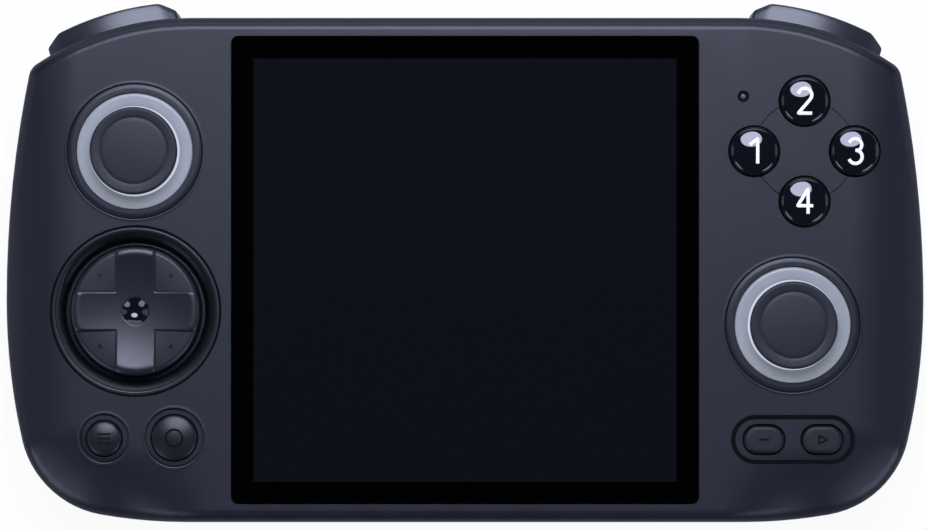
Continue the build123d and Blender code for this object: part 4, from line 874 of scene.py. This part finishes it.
def make_trims():
    """The soft lips round the recesses, the sloping bead beside each light ring, black rings of
    painted shade on the floors of the grooves, and the satin well round the cross pad, whose section
    is a quarter ellipse."""
    recess, bead_inner, bead_outer, bead_root = 11.45, 9.92, 11.26, -0.44
    r = np.linspace(bead_inner, bead_outer, 14)
    fall = 0.2 * np.maximum(r - 10.5, 0) ** 2
    bead = [(bead_inner, bead_root), *zip(r, -0.01 - fall), (bead_outer, bead_root)]
    for side in SIDES:
        centre = middle(side + "_light_ring")
        lip(side + "_recess_lip", recess, centre)
        face_trim(side + "_recess_bead", bead, centre, "shell")
        # A black ring of painted shade in the trench round the ring
        groove_painted_shade(side + "_recess_shade", 11.2, 11.46, 0.3, centre)
    for node, radius in (("menu_button", 4.15), ("shortcut_button", 5.0)):
        lip(node.replace("button", "lip"), radius, middle(node))

    pad = middle("cross_pad")
    well_outer, well_width, well_depth = 13.65, 1.85, 1.45
    angle = np.radians(np.linspace(0, 90, 24))
    across = well_outer - well_width * np.sin(angle)
    down = (well_depth + 0.01) * np.cos(angle) - well_depth
    well = [*zip(across, down), (11.8, -1.75), (11.95, -1.75), (13.5, -0.3)]
    face_trim("pad_well_trim", well, pad, "well")
    rim = [(13.6, -0.2), (13.6, 0.0), (13.75, 0.05), (13.9, 0.05), (14.08, -0.05), (14.08, -0.2)]
    face_trim("pad_well_lip", rim, pad, "shell")
    groove_painted_shade("pad_well_shade", 14.09, 14.51, 0.25, pad)

    # A black band of painted shade on the floor of the groove round the option keys
    centre = (middle("select_button") + middle("start_button")) / 2
    outer = rounded_outline(10.43, 4.13, 4.1, 24)
    inner = rounded_outline(9.72, 3.42, 3.4, 24)
    top = FACE_Z - 0.22
    under = top - 0.1
    groove, faces = layered([(outer, top), (inner, top), (inner, under), (outer, under)])
    faces += grid_faces(4, len(outer), True)[-len(outer) :]
    floor = moved((groove, faces), centre)
    new_piece("option_groove_shade", floor, "front_cover", "shade", 60)


# The body's outline at a lower corner, from the face's middle: the corner's arc, and the bottom arc
# that follows it. Each holds between two angles about the corner's centre, in degrees.
CORNER_X, CORNER_Y, CORNER_RADIUS = 58.715, -25.09, 16.5
BOTTOM_X, BOTTOM_Y, BOTTOM_RADIUS = 47.69, 37.45, 80.0
BOTTOM_FROM, SIDE_FROM = -80.0, -13.0
CROWN_WIDTH = 12.5  # of the roll-off, in from the outline
FADE_X = 43.0  # the corner's own roll-off starts here


def corner_drop(x, y):
    """How far a lower corner rolls off below the side crown. The distance in from the outline is taken
    from the corner's own arc, or from the bottom arc beyond it, and the drop is that of the side crown
    at the same distance. It fades out along the bottom edge before the screen."""
    x = np.abs(x)
    lean = np.degrees(np.arctan2(y - CORNER_Y, x - CORNER_X))
    from_corner = CORNER_RADIUS - np.hypot(x - CORNER_X, y - CORNER_Y)
    from_bottom = BOTTOM_RADIUS - np.hypot(x - BOTTOM_X, y - BOTTOM_Y)
    inside = np.where(lean < BOTTOM_FROM, from_bottom, from_corner)
    full = roll_drop(np.clip(CROWN_WIDTH - inside, 0, CROWN_WIDTH + 0.5))
    fade = smooth_step(FADE_X, CORNER_X, x) * smooth_step(0, 25, SIDE_FROM - lean)
    extra = np.maximum(full - crown_drop(x), 0) * fade
    return np.where((y < CORNER_Y) & (lean < SIDE_FROM), extra, 0.0)


def roll_corners(piece):
    """Cuts the front of the shell into a fine grid near its lower corners and lowers it by the drop
    there, in full at the face and not at all at the seam."""
    tidy = bmesh.new()
    tidy.from_mesh(piece.data)
    cuts = [((0.0, y), (0, 1, 0)) for y in np.arange(-42.0, -25.0, 1.0)]
    cuts += [((s * x, 0.0), (1, 0, 0)) for x in np.arange(FADE_X, 77.0, 1.0) for s in (1, -1)]
    for (x, y), normal in cuts:
        faces = [
            face
            for face in tidy.faces
            if min(v.co.y for v in face.verts) < (CORNER_Y + SHELL_MIDDLE_Y) * MM
            and max(abs(v.co.x) for v in face.verts) > (FADE_X - 0.1) * MM
            and max(v.co.z for v in face.verts) > SEAM_Z * MM
        ]
        near = {edge for face in faces for edge in face.edges}
        dots = {vert for face in faces for vert in face.verts}
        place = (x * MM, (y + SHELL_MIDDLE_Y) * MM, 0)
        geometry = [*dots, *near, *faces]
        bmesh.ops.bisect_plane(tidy, geom=geometry, plane_co=place, plane_no=normal, dist=1e-7)
    points = np.array([vert.co for vert in tidy.verts]) / MM
    share = np.clip((points[:, 2] - SEAM_Z) / (FACE_Z - SEAM_Z), 0, 1)
    drop = corner_drop(points[:, 0], points[:, 1] - SHELL_MIDDLE_Y) * share
    for vert, fall in zip(tidy.verts, drop):
        vert.co.z -= fall * MM
    shade(tidy, 28.0)
    tidy.to_mesh(piece.data)
    tidy.free()


def make_shells():
    """Both covers and the keys in their walls, smooth over their curves, with the face's trims."""
    roll_corners(cad_copy("front_cover", "shell", "front_shell"))
    cad_copy("rear_cover", "shell", "rear_shell")
    cad_copy("volume_rocker", "shell", "volume_key")
    cad_copy("power_key", "shell", "power_button")
    make_trims()


# The bumper's own frame: u along the body's upper corner arc and v out of it, from the arc's middle
BUMPER_HALF = 11.3
EDGE_RADIUS = 47.5  # of the body's upper corner arc
BUMPER_RADIUS = 50.3  # of the bumper's outer edge, from the same centre
EDGE_CENTRE = (46.3, -4.95)  # from the face's middle
BUMPER_TURN = np.radians(16.4)


def shoulder_edge(u):
    """The outer edge of a bumper: the lower of a circle parallel to the body's edge and a straight cut
    towards each end, blended where they meet, with the last corner rounded."""
    cut_from, cut_v, end_v = 8.9, 2.0, 0.1
    slope = (end_v - cut_v) / (BUMPER_HALF - cut_from)
    blend, tip = 0.1, 1.3
    away = np.abs(u)
    crown = np.sqrt(BUMPER_RADIUS**2 - u**2) - EDGE_RADIUS
    line = cut_v + slope * (away - cut_from)
    edge = -blend * np.log(np.exp(-crown / blend) + np.exp(-line / blend))
    start = BUMPER_HALF - tip
    start_v = cut_v + slope * (start - cut_from)
    fall = tip - np.sqrt(np.maximum(tip**2 - np.maximum(away - start, 0) ** 2, 0))
    return np.where(away > start, np.minimum(edge, start_v - fall), edge)


def bumper_surface(side):
    """A bumper as one closed section carried along its edge. The section has a flat underside, an
    upright outer face with rounded corners and a top that slopes down towards it. The top is crowned
    along the bumper as well: z falls by (u - u0)^2 / 2R. The ends are drawn in a little."""
    low_z, high_z = 14.25, 19.36
    crown_at, crown_radius = -2.0, 55.0
    slope, reach, corner = 0.14, 3.0, 0.4
    low_corner, low_bevel = 0.45, 0.13
    back_low, back_high = -2.2, -3.8
    middle_of_section = np.array([-0.9, 16.8])
    u = np.sin(np.linspace(-np.pi / 2, np.pi / 2, 97)) * BUMPER_HALF
    angle = np.radians(np.linspace(0, 78, 8))
    bend = corner * np.stack([np.cos(angle), np.sin(angle)], -1)
    run = np.linspace(0.0, 1.0, 5)[1:]
    rows = []
    for place, edge in zip(u, shoulder_edge(u)):
        crest = high_z - (place - crown_at) ** 2 / (2 * crown_radius)
        bent = (edge - corner, crest - reach * slope - corner) + bend
        end_v, end_z = bent[-1]
        section = np.array([
            (back_low, low_z),
            (edge - low_corner, low_z),
            (edge - low_bevel, low_z + low_bevel),
            (edge, low_z + low_corner),
            *bent,
            *zip(end_v - reach * run, end_z + (crest - end_z) * run),
            (back_high, crest),
        ])
        shrink = 1 - 0.4 * max(abs(place) - 11.0, 0)
        section = middle_of_section + (section - middle_of_section) * shrink
        rows.append(np.column_stack([np.full(len(section), place), section]))
    ends = [np.repeat(rows[index].mean(0)[None], len(rows[0]), 0) for index in (0, -1)]
    local_u, local_v, z = np.concatenate([ends[0], *rows, ends[1]]).T
    c, s = np.cos(BUMPER_TURN), np.sin(BUMPER_TURN)
    x = EDGE_CENTRE[0] + EDGE_RADIUS * s + local_u * c + local_v * s
    y = SHELL_MIDDLE_Y + EDGE_CENTRE[1] + EDGE_RADIUS * c - local_u * s + local_v * c
    points = np.stack([x if side == "right" else -x, y, z], -1)
    return points, grid_faces(len(rows) + 2, len(rows[0]))


def make_shoulders():
    """The bumpers, swept, and the triggers, smooth over their crowns."""
    for side in SIDES:
        name = side + "_upper_shoulder"
        stand_in(name, bumper_surface(side), side + "_bumper", "shoulder", 50)
        cad_copy(side + "_trigger", "shoulder", side + "_lower_shoulder")


# The nodes that only need a finish, by finish. A pair has one node on each side.
PLAIN = {
    "tape": ["glass_adhesive"],
    "panel": ["display_panel"],
    "board": ["main_board"],
    "tin": ["processor_shield"],
    "wrap": ["battery_pack"],
    "silicone": [
        "cross_pad_pillar",
        "cross_pad_membrane",
        "face_button_membrane",
        "menu_membrane",
        "option_membrane",
    ],
    "steel": ["stick_screws", "board_screws"],
}
PLAIN_PAIRS = {
    "black": ["speaker", "stick_base"],
    "acetal": ["lower_yoke", "upper_yoke", "stick_hub", "stick_stem"],
    "board": ["shoulder_board"],
    "silicone": ["shoulder_keys"],
    "steel": ["bumper_pin"],
}
# What shows through the case's openings: the finish and name of a smooth copy of each node
SMOOTHED = {
    "charging_socket": ("steel", "charging_port"),
    "video_socket": ("steel", "video_port"),
    "headphone_socket": ("black", "headphone_jack"),
    "card_socket": ("steel", "card_port"),
    "case_screws": ("screw", "back_screws"),
}


def make_status_light():
    """The light pipe's small dome, turned, and a turned black ring of painted shade round it where its
    hole lies.
    """
    node = "status_light"
    centre, top, base = middle(node), high(node)[2], low(node)[2]
    radius = half_width(node)
    pipe = [(0, top), (radius * 0.7, top - 0.02), (radius, top - 0.35), (radius, base), (0, base)]
    stand_in("status_lens", turned(eased(pipe, 0.2), centre, 48), node, "clear", 50)
    # The black ring is painted shade, which fills the dark gap of the hole round the lens
    inner, outer, root = radius + 0.02, 0.99, -0.5
    rim = [(inner, root), (inner, -0.04), (0.92, 0.0), (0.96, 0.01), (outer, 0.0), (outer, root)]
    face_trim("status_hole_shade", rim, centre, "shade")


def make_inner_parts():
    """Plain finishes for what the case holds, and smooth copies of what shows from outside."""
    plain = [(node, material) for material, nodes in PLAIN.items() for node in nodes]
    for material, nodes in PLAIN_PAIRS.items():
        plain += [(f"{side}_{node}", material) for node in nodes for side in SIDES]
    for node, material in plain:
        coat(frame["nodes"][node].data, material)
    for node, (material, name) in SMOOTHED.items():
        cad_copy(node, material, name)
    make_status_light()


# Studio


def area_lamp(name, place, width, height, power):
    """A soft oval lamp with a daylight tint, aimed at the object. Its place and size are in metres."""
    data = bpy.data.lights.new(name, "AREA")
    data.shape = "ELLIPSE"
    data.size = width
    data.size_y = height
    data.energy = power
    data.color = linear("#DCE3FF")[:3]
    lamp = new_object(name, data)
    lamp.location = place
    lamp.rotation_euler = (Vector((0, 0, 0.02)) - Vector(place)).to_track_quat("-Z", "Y").to_euler()


def make_floor():
    """A wide white floor. The camera sees it almost pure white, with a trace of the shadow on it, and
    the object sees plain grey paper."""
    half = 4.0
    mesh = bpy.data.meshes.new("studio_floor")
    corners = [(-half, -half, 0), (half, -half, 0), (half, half, 0), (-half, half, 0)]
    mesh.from_pydata(corners, [], [(0, 1, 2, 3)])
    floor = new_object("studio_floor", mesh)
    floor.location.z = -0.02 * MM
    material = bpy.data.materials.new("white_sweep_paper")
    tree = empty_tree(material)
    paper = add_node(tree, "ShaderNodeBsdfDiffuse", {"Color": linear("#B4B4B4")}).outputs[0]
    white = {"Color": (1, 1, 1, 1), "Strength": 1.13}
    glow = add_node(tree, "ShaderNodeEmission", white).outputs[0]
    seen = add_node(tree, "ShaderNodeLightPath").outputs["Is Camera Ray"]
    share = add_node(tree, "ShaderNodeMath", {0: seen, 1: 0.82}, operation="MULTIPLY").outputs[0]
    mix = add_node(tree, "ShaderNodeMixShader", {0: share, 1: paper, 2: glow})
    add_node(tree, "ShaderNodeOutputMaterial", {"Surface": mix.outputs[0]})
    mesh.materials.append(material)


def make_world():
    """A dim even studio: white to the camera, and nearly black in reflections, so that only the lamps
    show in flat gloss."""
    world = bpy.data.worlds.new("studio")
    bpy.context.scene.world = world
    tree = empty_tree(world)
    path = add_node(tree, "ShaderNodeLightPath").outputs
    dim = {"Factor": path["Is Glossy Ray"], "A": 0.2, "B": 0.015}
    dim = add_node(tree, "ShaderNodeMix", dim, data_type="FLOAT").outputs["Result"]
    seen = {"Factor": path["Is Camera Ray"], "A": dim, "B": 1.0}
    seen = add_node(tree, "ShaderNodeMix", seen, data_type="FLOAT").outputs["Result"]
    back = add_node(tree, "ShaderNodeBackground", {"Color": (1, 1, 1, 1), "Strength": seen})
    add_node(tree, "ShaderNodeOutputWorld", {"Surface": back.outputs[0]})


def make_camera():
    """A long lens straight above the face, framed so that the body falls on the same pixels as in the
    photo. The scale holds at the height of the body's widest outline."""
    outline_z, distance, sensor = 17.8, 1200.0, 36.0
    data = bpy.data.cameras.new("front_camera")
    data.sensor_width = sensor
    data.clip_end = 10.0
    data.lens = sensor * distance / (PHOTO_WIDTH / PHOTO_SCALE)
    camera = new_object("front_camera", data)
    x = (PHOTO_WIDTH / 2 - PHOTO_BODY_X) / PHOTO_SCALE
    y = SHELL_MIDDLE_Y + (PHOTO_BODY_Y - PHOTO_HEIGHT / 2) / PHOTO_SCALE
    camera.location = (x * MM, y * MM, (outline_z + distance) * MM)
    bpy.context.scene.camera = camera


def make_lamps():
    """One oval softbox beyond the top edge, as its reflections in the domes show, two weaker ones
    beyond the bottom corners, which light the rolled corners and the buttons' lower bevels, and dim
    panels low at the top and sides, which lift the rolled edges."""
    area_lamp("key_softbox", (0.0, 0.30, 0.74), 0.49, 0.36, 4.4)
    area_lamp("top_panel", (0.0, 0.75, 0.30), 1.2, 0.45, 2.1)
    for side in (-1, 1):
        area_lamp("corner_softbox", (side * 0.48, -0.48, 0.43), 0.4, 0.48, 1.45)
        area_lamp("side_panel", (side * 0.75, 0.05, 0.30), 0.4, 0.8, 0.6)


def make_studio():
    """Camera, lamps, floor and world."""
    make_camera()
    make_lamps()
    make_floor()
    make_world()
    bpy.context.scene.view_settings.view_transform = "Standard"


# Add-on


class ConsoleBuilder:
    """What the operators share: each builds its pieces, and an error in that stops the script."""

    bl_options = {"REGISTER", "UNDO"}

    def execute(self, context):
        self.build()
        return {"FINISHED"}


class CONSOLE_OT_studio(ConsoleBuilder, bpy.types.Operator):
    """Makes the camera, the lamps, the floor and the world"""

    bl_idname = "console.studio"
    bl_label = "Studio"
    build = staticmethod(make_studio)


class CONSOLE_OT_shells(ConsoleBuilder, bpy.types.Operator):
    """Makes both covers, the keys in their edge and the trims round their openings"""

    bl_idname = "console.shells"
    bl_label = "Shells"
    build = staticmethod(make_shells)


class CONSOLE_OT_screen(ConsoleBuilder, bpy.types.Operator):
    """Makes the cover glass"""

    bl_idname = "console.screen"
    bl_label = "Screen"
    build = staticmethod(make_screen_glass)


class CONSOLE_OT_sticks(ConsoleBuilder, bpy.types.Operator):
    """Makes the caps and light rings"""

    bl_idname = "console.sticks"
    bl_label = "Thumb sticks"
    build = staticmethod(make_sticks)


class CONSOLE_OT_cross_pad(ConsoleBuilder, bpy.types.Operator):
    """Makes the pad, its raised cross and its dimple"""

    bl_idname = "console.cross_pad"
    bl_label = "Cross pad"
    build = staticmethod(make_cross_pad)


class CONSOLE_OT_face_buttons(ConsoleBuilder, bpy.types.Operator):
    """Makes the four domes and their numbers"""

    bl_idname = "console.face_buttons"
    bl_label = "Face buttons"
    build = staticmethod(make_face_buttons)


class CONSOLE_OT_small_buttons(ConsoleBuilder, bpy.types.Operator):
    """Makes the menu and shortcut buttons"""

    bl_idname = "console.small_buttons"
    bl_label = "Small buttons"
    build = staticmethod(make_small_buttons)


class CONSOLE_OT_option_buttons(ConsoleBuilder, bpy.types.Operator):
    """Makes the select and start buttons"""

    bl_idname = "console.option_buttons"
    bl_label = "Option buttons"
    build = staticmethod(make_option_buttons)


class CONSOLE_OT_shoulders(ConsoleBuilder, bpy.types.Operator):
    """Makes the bumpers and triggers"""

    bl_idname = "console.shoulders"
    bl_label = "Shoulders"
    build = staticmethod(make_shoulders)


class CONSOLE_OT_inner_parts(ConsoleBuilder, bpy.types.Operator):
    """Finishes what the case holds"""

    bl_idname = "console.inner_parts"
    bl_label = "Inner parts"
    build = staticmethod(make_inner_parts)


OPERATORS = [
    CONSOLE_OT_studio,
    CONSOLE_OT_shells,
    CONSOLE_OT_screen,
    CONSOLE_OT_sticks,
    CONSOLE_OT_cross_pad,
    CONSOLE_OT_face_buttons,
    CONSOLE_OT_small_buttons,
    CONSOLE_OT_option_buttons,
    CONSOLE_OT_shoulders,
    CONSOLE_OT_inner_parts,
]


class CONSOLE_PT_panel(bpy.types.Panel):
    """Lists the console's builders and its settings."""

    bl_label = "Console"
    bl_idname = "CONSOLE_PT_panel"
    bl_space_type = "VIEW_3D"
    bl_region_type = "UI"
    bl_category = "Console"

    def draw(self, context):
        for operator in OPERATORS:
            self.layout.operator(operator.bl_idname)
        for group in (context.scene.console_colours, context.scene.console_sizes):
            for name in group.__annotations__:
                self.layout.prop(group, name)


CLASSES = [ConsoleColours, ConsoleSizes, *OPERATORS, CONSOLE_PT_panel]


def register():
    """Adds the settings, operators and panel."""
    for item in CLASSES:
        bpy.utils.register_class(item)
    bpy.types.Scene.console_colours = bpy.props.PointerProperty(type=ConsoleColours)
    bpy.types.Scene.console_sizes = bpy.props.PointerProperty(type=ConsoleSizes)


def unregister():
    """Takes them away again."""
    del bpy.types.Scene.console_sizes
    del bpy.types.Scene.console_colours
    for item in reversed(CLASSES):
        bpy.utils.unregister_class(item)


def main():
    """Registers the add-on and builds everything in order."""
    register()
    for operator in OPERATORS:
        getattr(bpy.ops.console, operator.bl_idname.split(".")[1])()


if __name__ == "__main__":
    main()
